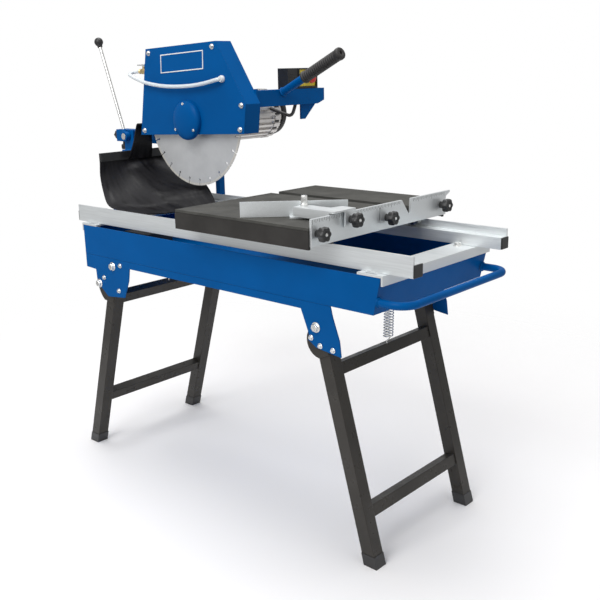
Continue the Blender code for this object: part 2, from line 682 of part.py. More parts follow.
def lock_lever():
    hub = (HEAD_PIVOT_X, 279.5, HEAD_PIVOT_Z)
    reach = (BALL - Vector(hub)).normalized()
    ring = ring_bar((HEAD_PIVOT_X, 272, HEAD_PIVOT_Z), (HEAD_PIVOT_X, 287.4, HEAD_PIVOT_Z), 16, 9.4)
    bar = rod(Vector(hub) + reach * 12.5, BALL, 4.5, 12)
    profile = [(0, -12.5)] + [(12.5 * math.cos(a), 12.5 * math.sin(a)) for a in
                              [math.radians(-75 + 25 * i) for i in range(7)]] + [(0, 12.5)]
    solid("lock_lever", ring, "zinc", "lock_lever", add=[bar, lathe(profile, BALL, reach, 20)])


lock_lever()

# ---------------------------------------------------------------- cutting head
ARM_Y0, ARM_Y1, ARM_Z0, ARM_Z1 = 294.3, 334.3, 793.0, 827.0
ARM_X0, ARM_X1 = -388.0, -78.0


def head_arm():
    outer = box((ARM_X0, ARM_Y0, ARM_Z0), (ARM_X1, ARM_Y1, ARM_Z1))
    hollow = box((ARM_X0 + 4, ARM_Y0 + 3, ARM_Z0 + 3), (ARM_X1 + 5, ARM_Y1 - 3, ARM_Z1 - 3))
    bore = rod((HEAD_PIVOT_X, 285, HEAD_PIVOT_Z), (HEAD_PIVOT_X, 345, HEAD_PIVOT_Z), 9.4, 24)
    solid("head_arm", outer, "blue_paint", "head", cut=[hollow, bore])


head_arm()
solid("motor_plate", prism([(-112, 790), (30, 796), (100, 836), (204, 880), (204, 943), (-60, 943), (-112, 860)],
                           "y", GUARD_Y1 + GAP, ARM_Y0 - GAP), "blue_paint", "head",
      cut=[rod((0, 280, BLADE_Z), (0, 300, BLADE_Z), 30, 24)])


def guard():
    outer = prism(GUARD, "y", GUARD_Y0, GUARD_Y1)
    inner = prism(offset_outline(GUARD, [SHEET, SHEET, SHEET, -30, SHEET]), "y", GUARD_Y0 - 5, GUARD_Y1 - SHEET)
    shaft_hole = rod((0, 270, BLADE_Z), (0, 295, BLADE_Z), 20, 24)
    solid("guard_shell", outer, "blue_paint", "head", cut=[inner, shaft_hole])
    solid("guard_cover", prism(GUARD, "y", GUARD_Y0 - GAP - COVER_T, GUARD_Y0 - GAP), "blue_paint", "head")


guard()
COVER_FACE = GUARD_Y0 - GAP - COVER_T
solid("arbor_cover", lathe([(50, 0), (50, 9), (47, 14), (40, 18), (0, 19.5), (0, 17), (39, 15.5), (45, 12),
                            (47.5, 8), (47.5, 0)], (5, COVER_FACE - GAP, 866), (0, -1, 0), 36),
      "blue_paint", "head")


def splash_flap():
    """Rubber flap behind the guard, flaring out towards its lower edge."""
    stations = (((-194.6, 848.8), (-194.6, 852), 236, 281), ((-208.8, 848.8), (-211, 852), 234, 283),
                ((-217.3, 804), (-220.5, 803.6), 227, 290), ((-234.8, 757), (-238, 756), 218, 300))
    rings = [[(x0, y0, z0), (x0, y1, z0), (x1, y1, z1), (x1, y0, z1)] for (x0, z0), (x1, z1), y0, y1 in stations]
    solid("splash_flap", loft(bmesh.new(), rings), "black_rubber", "head")


splash_flap()


def motor():
    """Finned aluminium housing between a front flange and an end bell, and a moulded fan cover."""
    fins = []
    for i in range(FINS):
        centre = 2 * math.pi * i / FINS
        pitch = 2 * math.pi / FINS
        for offset, radius in ((-0.28, 59), (-0.2, MOTOR_R), (0.2, MOTOR_R), (0.28, 59)):
            angle = centre + offset * pitch
            fins.append((radius * math.cos(angle), BLADE_Z + radius * math.sin(angle)))
    body_profile = [(0, 0), (66, 0), (66, 9), (57, 12), (57, 198), (64, 204), (64, 230), (52, 242), (0, 243.7)]
    solid("motor_housing", prism(fins, "y", MOTOR_Y0 + 4, MOTOR_Y0 + 202), "motor_silver", "head",
          add=[lathe(body_profile, (0, MOTOR_Y0, BLADE_Z), (0, 1, 0), 40)])
    solid("fan_cover", lathe([(0, 0), (58, 0), (60, 4), (60, 13), (54, 20), (0, 22)],
                             (0, MOTOR_Y1 + GAP, BLADE_Z), (0, 1, 0), 32), "black_plastic", "head")


motor()

BEAM_X0, BEAM_X1, BEAM_Z0, BEAM_Z1, BEAM_Y1 = 160.0, 200.0, 899.0, 939.0, 550.0

HANDLE_FOOT = Vector((200.0, 388.0, 932.0))
HANDLE_UP = Vector((190.0, 0.0, 91.0)).normalized()
GRIP_FROM, GRIP_TO = 82.0, 214.0


def handle():
    """The welded cross beam with the handle's tube, and the ribbed grip pushed on the tube."""
    outline = [(ARM_Y0, BEAM_Z0), (524, BEAM_Z0), (BEAM_Y1, 908), (BEAM_Y1, BEAM_Z1), (ARM_Y0, BEAM_Z1)]
    hollow = [(ARM_Y0 - 5, BEAM_Z0 + 3), (522, BEAM_Z0 + 3), (BEAM_Y1 - 3, 910), (BEAM_Y1 - 3, BEAM_Z1 - 3),
              (ARM_Y0 - 5, BEAM_Z1 - 3)]
    gusset = prism([(478, BEAM_Z0 + 1), (524, BEAM_Z0 + 1), (546, 907.6), (494, 860), (478, 860)], "x", 176, 181)
    tube = rod(HANDLE_FOOT - HANDLE_UP * 12, HANDLE_FOOT + HANDLE_UP * 205, 10, 20)
    solid("handle_beam", prism(outline, "x", BEAM_X0, BEAM_X1), "blue_paint", "head",
          cut=[prism(hollow, "x", BEAM_X0 + 3, BEAM_X1 - 3)], weld=[gusset, tube])
    profile = [(10.3, 0), (15.5, 0), (15.5, 4)]
    ribs = 9
    pitch = (GRIP_TO - GRIP_FROM - 12) / ribs
    for i in range(ribs):
        start = 5 + i * pitch
        profile += [(13.2, start), (14.2, start + pitch * 0.4), (13.2, start + pitch * 0.9)]
    length = GRIP_TO - GRIP_FROM
    profile += [(14.6, length - 5), (13, length), (0, length), (0, length - 5), (10.3, length - 5)]
    solid("handle_grip", lathe(profile, HANDLE_FOOT + HANDLE_UP * GRIP_FROM, HANDLE_UP, 24), "black_rubber", "head")


handle()

SWITCH = ((163.0, 410.0, BEAM_Z1 + GAP), (198.0, 526.0, 991.0))
solid("switch_box", box(*SWITCH), "black_plastic", "head",
      cut=[box((194, 452, 944), (205, 520, 988)), rod((186, 494, 966), (200, 494, 966), 8.4, 24)])
body("stop_button", (198, 494, 966), "head")
solid("stop_button", lathe([(0, 0), (8, 0), (8, 9), (14, 9.5), (14, 15), (10, 19), (0, 20)],
                           (194 + GAP, 494, 966), (1, 0, 0), 24), "stop_red", "stop_button")

HOSE_R = 5.0
HOSE_START = (-204.0 - GAP, 252, 990)
HOSE_ROUTE = [(-211, 252, 990), (-220, 248, 989), (-224, 240, 987), (-218, 229, 983), (-204, 222, 979),
              (-170, 221.5, 968), (-137, 221, 960), (-80, 220.5, 953), (-23, 220, 951), (40, 220.5, 953),
              (90, 221, 959), (118, 221.5, 964), (134, 224, 967.5), (140, 229.5, 969)]
HOSE_END = (140, COVER_FACE - GAP, 969)


def hose():
    """The clear hose is a bevelled curve, with a point about every two diameters."""
    parent, origin = BODIES["head"]
    route = [Vector(HOSE_START)] + smooth_path(HOSE_ROUTE, 2) + [Vector(HOSE_END)]
    curve = bpy.data.curves.new("water_hose", "CURVE")
    curve.dimensions = "3D"
    curve.bevel_depth = HOSE_R * MM
    curve.bevel_resolution = 2
    curve.use_fill_caps = True
    spline = curve.splines.new("POLY")
    spline.points.add(len(route) - 1)
    for slot, point in zip(spline.points, route):
        slot.co = (*(to_world(*point) - origin), 1.0)
    made = bpy.data.objects.new("water_hose", curve)
    made.parent = parent
    curve.materials.append(material("clear_hose"))
    bpy.context.collection.objects.link(made)


hose()
solid("water_valve", rod((-166.5, 252, 990), (-204, 252, 990), 8, 14), "brass", "head",
      add=[rod((-184, 252, 992), (-184, 252, 1003), 5, 12)])
body("valve_lever", (-184, 252, 1003), "head")
solid("valve_lever", rod((-184, 252, 1003 + GAP), (-184, 252, 1009), 6, 12), "zinc", "valve_lever",
      add=[box((-208, 248, 1005), (-182, 256, 1008))])

body("tail_knob", (ARM_X0, 314, HEAD_PIVOT_Z), "head")
solid("tail_knob", star_knob((ARM_X0 - GAP, 314, HEAD_PIVOT_Z), (-1, 0, 0), 13, 24), "black_plastic", "tail_knob")
body("depth_knob", (-376, 314, ARM_Z0), "head")
solid("depth_knob", star_knob((-376, 314, ARM_Z0 - GAP), (0, 0, -1), 12, 24), "black_plastic", "depth_knob")


# ---------------------------------------------------------------- blade and spindle
def blade():
    """Steel core with keyhole slots between the rim segments."""
    pitch = 2 * math.pi / SEGMENTS
    centre = Vector((0.0, BLADE_Z))
    outline = []
    for i in range(SEGMENTS):
        middle = i * pitch
        radial = Vector((math.cos(middle), math.sin(middle)))
        side = Vector((-radial.y, radial.x))
        half = SLOT_W / 2
        rim = math.sqrt(BLADE_R ** 2 - half ** 2)
        hole = centre + radial * (BLADE_R - SLOT_DEPTH)
        mouth = math.asin(half / KEYHOLE_R)
        outline.append(centre + radial * rim - side * half)
        for k in range(7):
            angle = -mouth - (2 * math.pi - 2 * mouth) * k / 6
            outline.append(hole + radial * (KEYHOLE_R * math.cos(angle)) + side * (KEYHOLE_R * math.sin(angle)))
        outline.append(centre + radial * rim + side * half)
        for k in (1, 2):
            angle = middle + pitch * k / 3
            outline.append(centre + Vector((math.cos(angle), math.sin(angle))) * BLADE_R)
    low, high = BLADE_Y - BLADE_T / 2, BLADE_Y + BLADE_T / 2
    bore = rod((0, BLADE_Y - 10, BLADE_Z), (0, BLADE_Y + 10, BLADE_Z), BORE_R, 28)
    solid("blade", prism([tuple(p) for p in outline], "y", low, high), "blade_steel", "blade_set", cut=[bore])


blade()
solid("spindle", lathe([(0, 0), (17, 0), (17, 9), (45, 10), (45, 19.2), (12.6, 19.2), (12.6, 22.8), (48, 22.8),
                        (48, 30), (12.6, 30), (12.6, 52.6), (0, 52.6)], (0, 241, BLADE_Z), (0, 1, 0), 28),
      "zinc", "blade_set")
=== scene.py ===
"""The looks of the tile cutter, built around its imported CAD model.

Places are written in millimetres of the machine's own datum: X = 0 under the blade's centre, Y = 0 on the
near rail's outer face, Z = 0 on the floor.  at() turns them into the frame's metres, and corners() gives a
node's box in the datum's millimetres.
"""

import json
import math

import bmesh
import bpy
from mathutils import Matrix, Vector


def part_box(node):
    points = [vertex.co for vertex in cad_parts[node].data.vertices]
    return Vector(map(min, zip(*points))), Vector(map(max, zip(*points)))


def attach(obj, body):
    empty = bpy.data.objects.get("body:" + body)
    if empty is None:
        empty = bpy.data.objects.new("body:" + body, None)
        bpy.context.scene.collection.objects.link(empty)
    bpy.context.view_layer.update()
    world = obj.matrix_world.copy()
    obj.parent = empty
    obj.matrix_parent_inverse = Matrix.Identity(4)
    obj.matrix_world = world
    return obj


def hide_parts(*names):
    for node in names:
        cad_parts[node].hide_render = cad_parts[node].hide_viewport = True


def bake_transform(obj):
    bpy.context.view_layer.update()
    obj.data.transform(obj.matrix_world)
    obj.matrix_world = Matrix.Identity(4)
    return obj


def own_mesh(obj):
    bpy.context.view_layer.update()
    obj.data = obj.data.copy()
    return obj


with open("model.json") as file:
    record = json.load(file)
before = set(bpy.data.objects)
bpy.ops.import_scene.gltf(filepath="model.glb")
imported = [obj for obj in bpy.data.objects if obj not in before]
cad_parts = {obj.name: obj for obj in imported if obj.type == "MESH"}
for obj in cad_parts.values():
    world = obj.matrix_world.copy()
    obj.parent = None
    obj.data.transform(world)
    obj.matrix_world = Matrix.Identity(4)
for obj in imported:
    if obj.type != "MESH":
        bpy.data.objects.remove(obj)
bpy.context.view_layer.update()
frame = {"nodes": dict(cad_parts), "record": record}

MM = 0.001
blade_low, blade_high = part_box("blade")
DATUM = Vector(((blade_low.x + blade_high.x) / 2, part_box("rail_near")[0].y, 0.0))


def at(x, y, z):
    """A point of the machine's datum, in metres of the frame."""
    return DATUM + Vector((x, y, z)) * MM


def corners(node):
    """A node's lowest and highest corners, in the datum's millimetres."""
    return tuple((corner - DATUM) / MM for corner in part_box(node))


def middle(low, high):
    return (low + high) / 2


# ---------------------------------------------------------------- materials
class Shader:
    """A Principled material with a few helpers for procedural texture in object coordinates."""

    def __init__(self, name, colour, roughness, metallic=0.0):
        self.material = bpy.data.materials.new(name)
        self.material.use_nodes = True
        self.nodes = self.material.node_tree.nodes
        self.links = self.material.node_tree.links
        self.bsdf = self.nodes["Principled BSDF"]
        self.colour = colour
        self.bsdf.inputs["Base Color"].default_value = (*colour, 1.0)
        self.bsdf.inputs["Roughness"].default_value = roughness
        self.bsdf.inputs["Metallic"].default_value = metallic
        self.place = self.nodes.new("ShaderNodeTexCoord").outputs["Object"]
        self.normal = None

    def dull(self, level):
        self.bsdf.inputs["Specular IOR Level"].default_value = level

    def stretched(self, scale):
        mapping = self.nodes.new("ShaderNodeMapping")
        mapping.inputs["Scale"].default_value = scale
        self.links.new(self.place, mapping.inputs["Vector"])
        return mapping.outputs["Vector"]

    def noise(self, scale, detail=4.0, stretch=(1, 1, 1)):
        node = self.nodes.new("ShaderNodeTexNoise")
        node.inputs["Scale"].default_value = scale
        node.inputs["Detail"].default_value = detail
        self.links.new(self.stretched(stretch), node.inputs["Vector"])
        return node.outputs["Fac"]

    def cells(self, scale, stretch=(1, 1, 1)):
        node = self.nodes.new("ShaderNodeTexVoronoi")
        node.inputs["Scale"].default_value = scale
        self.links.new(self.stretched(stretch), node.inputs["Vector"])
        return node.outputs["Distance"]

    def ramp(self, value, low, high, first, last):
        """A value between low and high becomes a number or a colour between first and last."""
        node = self.nodes.new("ShaderNodeValToRGB")
        for stop, place, tone in zip(node.color_ramp.elements, (low, high), (first, last)):
            stop.position = place
            stop.color = (tone, tone, tone, 1.0) if isinstance(tone, float) else (*tone, 1.0)
        self.links.new(value, node.inputs["Fac"])
        return node.outputs["Color"]

    def vary(self, value, spread, low=0.3, high=0.7):
        """Lighten and darken the base colour by a share."""
        dark = tuple(c * (1 - spread) for c in self.colour)
        light = tuple(min(1.0, c * (1 + spread)) for c in self.colour)
        self.links.new(self.ramp(value, low, high, dark, light), self.bsdf.inputs["Base Color"])

    def shine(self, value, first, last, low=0.3, high=0.7):
        self.links.new(self.ramp(value, low, high, first, last), self.bsdf.inputs["Roughness"])

    def rounded(self, radius):
        """Sharp edges catch the light as if they had this radius."""
        node = self.nodes.new("ShaderNodeBevel")
        node.samples = 4
        node.inputs["Radius"].default_value = radius * MM
        self.normal = node.outputs["Normal"]
        self.links.new(self.normal, self.bsdf.inputs["Normal"])

    def bump(self, value, strength, depth):
        node = self.nodes.new("ShaderNodeBump")
        node.inputs["Strength"].default_value = strength
        node.inputs["Distance"].default_value = depth * MM
        self.links.new(value, node.inputs["Height"])
        if self.normal:
            self.links.new(self.normal, node.inputs["Normal"])
        self.normal = node.outputs["Normal"]
        self.links.new(self.normal, self.bsdf.inputs["Normal"])


def blue_paint():
    made = Shader("blue_powder_coat", (0.0, 0.087, 0.305), 0.38)
    made.dull(0.05)
    made.vary(made.noise(9, 3), 0.06)
    made.shine(made.noise(30, 5), 0.30, 0.44)
    made.rounded(1.2)
    made.bump(made.noise(700, 2), 0.12, 0.25)
    made.bsdf.inputs["Coat Weight"].default_value = 0.02
    made.bsdf.inputs["Coat Roughness"].default_value = 0.15
    return made.material


def aluminium():
    made = Shader("mill_aluminium", (0.84, 0.87, 0.88), 0.36, 0.7)
    lines = made.noise(60, 6, (0.25, 9, 9))
    made.vary(lines, 0.05)
    made.shine(lines, 0.30, 0.44)
    made.rounded(0.5)
    made.bump(lines, 0.10, 0.12)
    return made.material


def leg_paint():
    made = Shader("dark_leg_paint", (0.037, 0.034, 0.030), 0.34, 0.1)
    made.dull(0.28)
    made.vary(made.noise(14, 4), 0.16)
    made.shine(made.noise(40, 5), 0.24, 0.42)
    made.rounded(2.4)
    made.bump(made.noise(500, 3), 0.12, 0.3)
    return made.material


def mat_rubber():
    made = Shader("table_mat_rubber", (0.066, 0.065, 0.059), 0.78)
    made.dull(0.25)
    made.vary(made.noise(22, 6), 0.24)
    made.rounded(0.8)
    made.bump(made.cells(420), 0.5, 0.5)
    made.bump(made.noise(1300, 3), 0.35, 0.25)
    return made.material


def table_paint():
    made = Shader("table_grey_paint", (0.038, 0.036, 0.034), 0.5)
    made.dull(0.15)
    made.vary(made.noise(18, 5), 0.18)
    made.shine(made.noise(35, 4), 0.42, 0.6)
    made.rounded(1.4)
    made.bump(made.noise(800, 3), 0.2, 0.3)
    return made.material


def curtain_rubber():
    """Sheet rubber with satin streaks down its length; the lighter colour along them is painted sheen."""
    made = Shader("curtain_rubber", (0.012, 0.0115, 0.0135), 0.4)
    made.dull(0.24)
    streaks_with_painted_sheen = made.noise(1.0, 6, (12, 150, 7))
    # Colour lightened along the streaks is painted sheen; their roughness and bump are the rubber's own.
    made.vary(streaks_with_painted_sheen, 0.55)
    made.shine(streaks_with_painted_sheen, 0.28, 0.60)
    made.bump(streaks_with_painted_sheen, 0.25, 0.8)
    return made.material


def plastic(name, colour, roughness):
    made = Shader(name, colour, roughness)
    made.vary(made.noise(45, 3), 0.12)
    made.rounded(0.8)
    made.bump(made.noise(1500, 2), 0.15, 0.12)
    return made.material


def metal(name, colour, roughness, stretch=(1, 1, 1), radius=0.5):
    made = Shader(name, colour, roughness, 1.0)
    grain = made.noise(160, 4, stretch)
    made.vary(grain, 0.12)
    made.shine(grain, roughness * 0.75, roughness * 1.35)
    made.rounded(radius)
    return made.material


def blade_steel():
    """Ground core with fine rings about the arbor, and a paler sintered rim."""
    made = Shader("blade_steel", (0.72, 0.73, 0.74), 0.4, 0.55)
    nodes, links = made.nodes, made.links
    centre = (blade_low + blade_high) / 2
    offset = nodes.new("ShaderNodeVectorMath")
    offset.operation = "SUBTRACT"
    offset.inputs[1].default_value = centre
    links.new(made.place, offset.inputs[0])
    length = nodes.new("ShaderNodeVectorMath")
    length.operation = "LENGTH"
    links.new(offset.outputs["Vector"], length.inputs[0])
    radius = length.outputs["Value"]
    rings = nodes.new("ShaderNodeMath")
    rings.operation = "SINE"
    scaled = nodes.new("ShaderNodeMath")
    scaled.operation = "MULTIPLY"
    scaled.inputs[1].default_value = 4200.0
    links.new(radius, scaled.inputs[0])
    links.new(scaled.outputs["Value"], rings.inputs[0])
    rim_edge = (blade_high.z - blade_low.z) / 2 - 6 * MM
    rim = nodes.new("ShaderNodeMath")
    rim.operation = "GREATER_THAN"
    rim.inputs[1].default_value = rim_edge
    links.new(radius, rim.inputs[0])
    grit = made.ramp(made.noise(900, 4), 0.35, 0.65, (0.72, 0.69, 0.63), (0.93, 0.91, 0.86))
    core = made.ramp(made.noise(30, 5), 0.3, 0.7, (0.69, 0.70, 0.71), (0.76, 0.77, 0.78))
    mix = nodes.new("ShaderNodeMix")
    mix.data_type = "RGBA"
    links.new(rim.outputs["Value"], mix.inputs["Factor"])
    links.new(core, mix.inputs[6])
    links.new(grit, mix.inputs[7])
    links.new(mix.outputs[2], made.bsdf.inputs["Base Color"])
    made.bump(rings.outputs["Value"], 0.08, 0.05)
    return made.material


def clear_vinyl():
    made = Shader("clear_vinyl", (0.90, 0.95, 0.98), 0.12)
    made.bsdf.inputs["Transmission Weight"].default_value = 0.3
    made.bsdf.inputs["IOR"].default_value = 1.35
    made.bump(made.noise(60, 2), 0.1, 0.3)
    return made.material


PAINTS = {
    "blue_paint": blue_paint(),
    "aluminium": aluminium(),
    "dark_steel": leg_paint(),
    "rubber_mat": mat_rubber(),
    "black_rubber": curtain_rubber(),
    "black_plastic": plastic("black_moulding", (0.022, 0.022, 0.023), 0.38),
    "table_paint": table_paint(),
    "blade_steel": blade_steel(),
    "zinc": metal("zinc_plate", (0.86, 0.86, 0.84), 0.28),
    "motor_silver": metal("motor_silver_paint", (0.76, 0.74, 0.72), 0.4, (6, 0.3, 6), 0.8),
    "clear_hose": clear_vinyl(),
    "stop_red": plastic("stop_red", (0.62, 0.018, 0.016), 0.3),
    "brass": metal("turned_brass", (0.72, 0.55, 0.28), 0.3),
}
EXTRA = {
    "grip": plastic("grip_rubber", (0.030, 0.028, 0.027), 0.55),
    "white": plastic("white_enamel", (0.85, 0.86, 0.87), 0.35),
    "yellow": plastic("yellow_switch_plate", (0.86, 0.70, 0.06), 0.4),
    "ink": plastic("scale_ink", (0.02, 0.02, 0.02), 0.6),
    "green": plastic("start_green", (0.02, 0.30, 0.07), 0.35),
}

for part in frame["record"]["subparts"]:
    node = frame["nodes"][part["node"]]
    node.data.materials.clear()
    node.data.materials.append(PAINTS[part["material_slot"]])


# ---------------------------------------------------------------- shape helpers (datum millimetres)
def frame_on(direction):
    direction = Vector(direction).normalized()
    side = Vector((0, 1, 0)) if abs(direction.y) < 0.9 else Vector((1, 0, 0))
    first = (side - direction * side.dot(direction)).normalized()
    return first, direction.cross(first)


def loft(bm, rings, closed=False):
    made = [[bm.verts.new(point) for point in ring] for ring in rings]
    spans = list(zip(made, made[1:] + made[:1])) if closed else list(zip(made, made[1:]))
    for first, second in spans:
        for i in range(len(first)):
            j = (i + 1) % len(first)
            bm.faces.new((first[i], first[j], second[j], second[i]))
    if not closed:
        bm.faces.new(made[0])
        bm.faces.new(list(reversed(made[-1])))
    return bm


def lathe(profile, origin, direction, count=48, bm=None, lobes=0, lobe_depth=0.0, start=0.0):
    """Turn (radius, height) points about an axis; lobes wave the radius in and out round the turn."""
    bm = bm or bmesh.new()
    origin, direction = Vector(origin), Vector(direction).normalized()
    first, second = frame_on(direction)
    rings = []
    for radius, height in profile:
        centre = origin + direction * height
        if radius == 0:
            rings.append([bm.verts.new(centre)])
            continue
        ring = []
        for i in range(count):
            angle = 2 * math.pi * i / count + start
            reach = radius * (1 - lobe_depth + lobe_depth * math.cos(lobes * angle))
            ring.append(bm.verts.new(centre + (first * math.cos(angle) + second * math.sin(angle)) * reach))
        rings.append(ring)
    closes = profile[0][0] > 0 and profile[-1][0] > 0
    pairs = list(zip(rings, rings[1:] + rings[:1])) if closes else list(zip(rings, rings[1:]))
    for low, high in pairs:
        for i in range(count):
            j = (i + 1) % count
            corners = [low[i % len(low)], low[j % len(low)], high[j % len(high)], high[i % len(high)]]
            corners = list(dict.fromkeys(corners))
            if len(corners) > 2:
                bm.faces.new(corners)
    return bm


def smooth_path(points, samples):
    """Catmull-Rom curve through given points."""
    points = [Vector(point) for point in points]
    padded = [points[0] * 2 - points[1]] + points + [points[-1] * 2 - points[-2]]
    path = []
    for a, b, c, d in zip(padded, padded[1:], padded[2:], padded[3:]):
        for i in range(samples):
            t = i / samples
            path.append(0.5 * (2 * b + (c - a) * t + (2 * a - 5 * b + 4 * c - d) * t * t
                               + (3 * b - a - 3 * c + d) * t ** 3))
    return path + [points[-1]]


def sweep(points, radius, count=12, bm=None):
    bm = bm or bmesh.new()
    points = [Vector(point) for point in points]
    first, _ = frame_on(points[1] - points[0])
    rings = []
    for i, point in enumerate(points):
        before, after = points[max(i - 1, 0)], points[min(i + 1, len(points) - 1)]
        tangent = (after - before).normalized()
        first = (first - tangent * first.dot(tangent)).normalized()
        second = tangent.cross(first)
        step = 2 * math.pi / count
        rings.append([point + (first * math.cos(k * step) + second * math.sin(k * step)) * radius
                      for k in range(count)])
    return loft(bm, rings)


def block(low, high, bm=None):
    """A box between two corners."""
    bm = bm or bmesh.new()
    (x0, y0, z0), (x1, y1, z1) = low, high
    return loft(bm, [[(x0, y0, z), (x1, y0, z), (x1, y1, z), (x0, y1, z)] for z in (z0, z1)])


def plate(corners, offset, bm=None):
    """A flat outline of points thickened by an offset vector."""
    bm = bm or bmesh.new()
    corners = [Vector(corner) for corner in corners]
    return loft(bm, [corners, [corner + Vector(offset) for corner in corners]])


def piece(name, bm, paint, body, bevel=0.0, segments=2, stands_for=(), sharp=35):
    """A finished piece: its mesh in the frame's metres, its material and the body it rides on."""
    bmesh.ops.recalc_face_normals(bm, faces=bm.faces)
    for vert in bm.verts:
        vert.co = at(*vert.co)
    mesh = bpy.data.meshes.new(name)
    bm.to_mesh(mesh)
    bm.free()
    made = bpy.data.objects.new(name, mesh)
    bpy.context.scene.collection.objects.link(made)
    mesh.materials.append(paint)
    if bevel:
        modifier = made.modifiers.new("edges", "BEVEL")
        modifier.width = bevel * MM
        modifier.segments = segments
        modifier.limit_method = "ANGLE"
        modifier.angle_limit = math.radians(sharp)
        modifier.harden_normals = True
    mesh.shade_smooth()
    mesh.set_sharp_from_angle(angle=math.radians(sharp))
    if stands_for:
        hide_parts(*stands_for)
    if body:
        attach(made, body)
    return made


# ---------------------------------------------------------------- fasteners
def bolt(bm, centre, axis, across, washer=0.0):
    """A domed hexagon head on its washer, its underside on the face it clamps."""
    centre, axis = Vector(centre), Vector(axis).normalized()
    height = 0.0
    if washer:
        lathe([(0, 0), (washer, 0), (washer, 1.1), (washer - 0.5, 1.5), (0, 1.5)], centre, axis, 28, bm)
        height = 1.5
    radius = across / math.sqrt(3)
    head = across * 0.42
    lathe([(0, height), (radius, height), (radius, height + head * 0.8), (radius * 0.86, height + head),
           (0, height + head)], centre, axis, 6, bm, start=0.3)
    return bm


def dome(bm, centre, axis, radius, height):
    """A button-head screw with a shallow socket."""
    profile = [(0, 0), (radius, 0), (radius * 0.98, height * 0.35), (radius * 0.8, height * 0.8),
               (radius * 0.5, height), (radius * 0.42, height), (radius * 0.4, height * 0.5),
               (0, height * 0.5)]
    return lathe(profile, centre, axis, 24, bm)


# Bolts of each leg bracket: X, Z, width across flats, washer radius.
BRACKET_BOLTS = {
    "front": [(653, 492, 15, 11), (664, 455, 8, 6), (697, 452, 8, 6), (640, 468, 8, 6)],
    "rear": [(-18, 522, 15, 11), (-79, 470, 15, 11), (14, 528, 8, 6), (-57, 488, 8, 6), (2, 462, 8, 6)],
}
GUARD_BOLTS = ((-141, 1036), (107, 1046), (203, 906), (196, 848), (-178, 834))
HUB_SCREW_ANGLES, HUB_SCREW_REACH = (92, 214, 326), 42


def leg_bracket_fasteners():
    """Pivot, lock and stop bolts on the outside of each leg bracket."""
    near_y, far_y = corners("leg_mount_near")[0].y, corners("leg_mount_far")[1].y
    for end, places in BRACKET_BOLTS.items():
        for side, y, outward in (("near", near_y, -1), ("far", far_y, 1)):
            bm = bmesh.new()
            for x, z, across, washer in places:
                bolt(bm, (x, y, z), (0, outward, 0), across, washer)
            piece(f"bracket_bolts_{end}_{side}", bm, PAINTS["zinc"], "frame", 0.4)


leg_bracket_fasteners()


def guard_fasteners():
    """The cover's five corner bolts and the three screws of the arbor cover."""
    cover_y = corners("guard_cover")[0].y
    bm = bmesh.new()
    for x, z in GUARD_BOLTS:
        bolt(bm, (x, cover_y, z), (0, -1, 0), 9, 7)
    piece("guard_cover_bolts", bm, PAINTS["zinc"], "head", 0.4)
    hub = middle(*corners("arbor_cover"))
    bm = bmesh.new()
    for angle in HUB_SCREW_ANGLES:
        x = hub.x + HUB_SCREW_REACH * math.cos(math.radians(angle))
        z = hub.z + HUB_SCREW_REACH * math.sin(math.radians(angle))
        dome(bm, (x, cover_y - 14.6, z), (0, -1, 0), 4.2, 3)
    piece("arbor_cover_screws", bm, PAINTS["zinc"], "head")


guard_fasteners()


PLATE_OUTLINE = [(-92, 1031), (74, 1039), (72, 993), (-94, 984)]
PLATE_EDGE_W, PLATE_EDGE_T = 2.6, 1.4


def blank_plate():
    """A framed plate with nothing on it, on the guard's cover."""
    cover_y = corners("guard_cover")[0].y
    centre_x, centre_z = (sum(values) / 4 for values in zip(*PLATE_OUTLINE))
    inner = [(x + math.copysign(PLATE_EDGE_W, centre_x - x), z + math.copysign(PLATE_EDGE_W, centre_z - z))
             for x, z in PLATE_OUTLINE]
    front_y = cover_y - PLATE_EDGE_T
    rings = [[(x, y, z) for x, z in outline] for y, outline in
             ((cover_y, PLATE_OUTLINE), (front_y, PLATE_OUTLINE), (front_y, inner), (cover_y, inner))]
    piece("blank_plate_frame", loft(bmesh.new(), rings, closed=True), EXTRA["white"], "head",
          0.3)
    field = plate([(x, cover_y - 0.05, z) for x, z in inner], (0, -0.5, 0))
    piece("blank_plate_field", field, PAINTS["blue_paint"], "head")


blank_plate()


# ---------------------------------------------------------------- rails, feet and tray fittings
RAIL_TUBE_W, RAIL_TUBE_H = 27.0, 25.0
CAP_INSET, CAP_HEAD, CAP_PLUG, CAP_WALL = 0.4, 3.2, 12.0, 3.0


def rail_fittings():
    """Moulded caps pushed into the four ends of the rails' tubes."""
    low, high = corners("rail_near")
    z0, z1 = low.z + CAP_INSET, low.z + RAIL_TUBE_H - CAP_INSET
    for side, outer, inward in (("near", low.y, 1), ("far", corners("rail_far")[1].y, -1)):
        y0, y1 = sorted((outer + inward * CAP_INSET, outer + inward * (RAIL_TUBE_W - CAP_INSET)))
        for end, x, out in (("front", high.x, 1), ("rear", low.x, -1)):
            a, b = sorted((x, x + out * CAP_HEAD))
            bm = block((a, y0, z0), (b, y1, z1))
            a, b = sorted((x - out * CAP_PLUG, x - out * 0.1))
            block((a, y0 + CAP_WALL, z0 + CAP_WALL), (b, y1 - CAP_WALL, z1 - CAP_WALL), bm)
            piece(f"rail_cap_{end}_{side}", bm, PAINTS["black_plastic"], "frame", 0.8, 3)


rail_fittings()


BOOT_H, BOOT_T, BOOT_CLEAR = 26.0, 1.0, 1.2
LEG_LEAN = {"front": 15.2, "rear": -16.9}


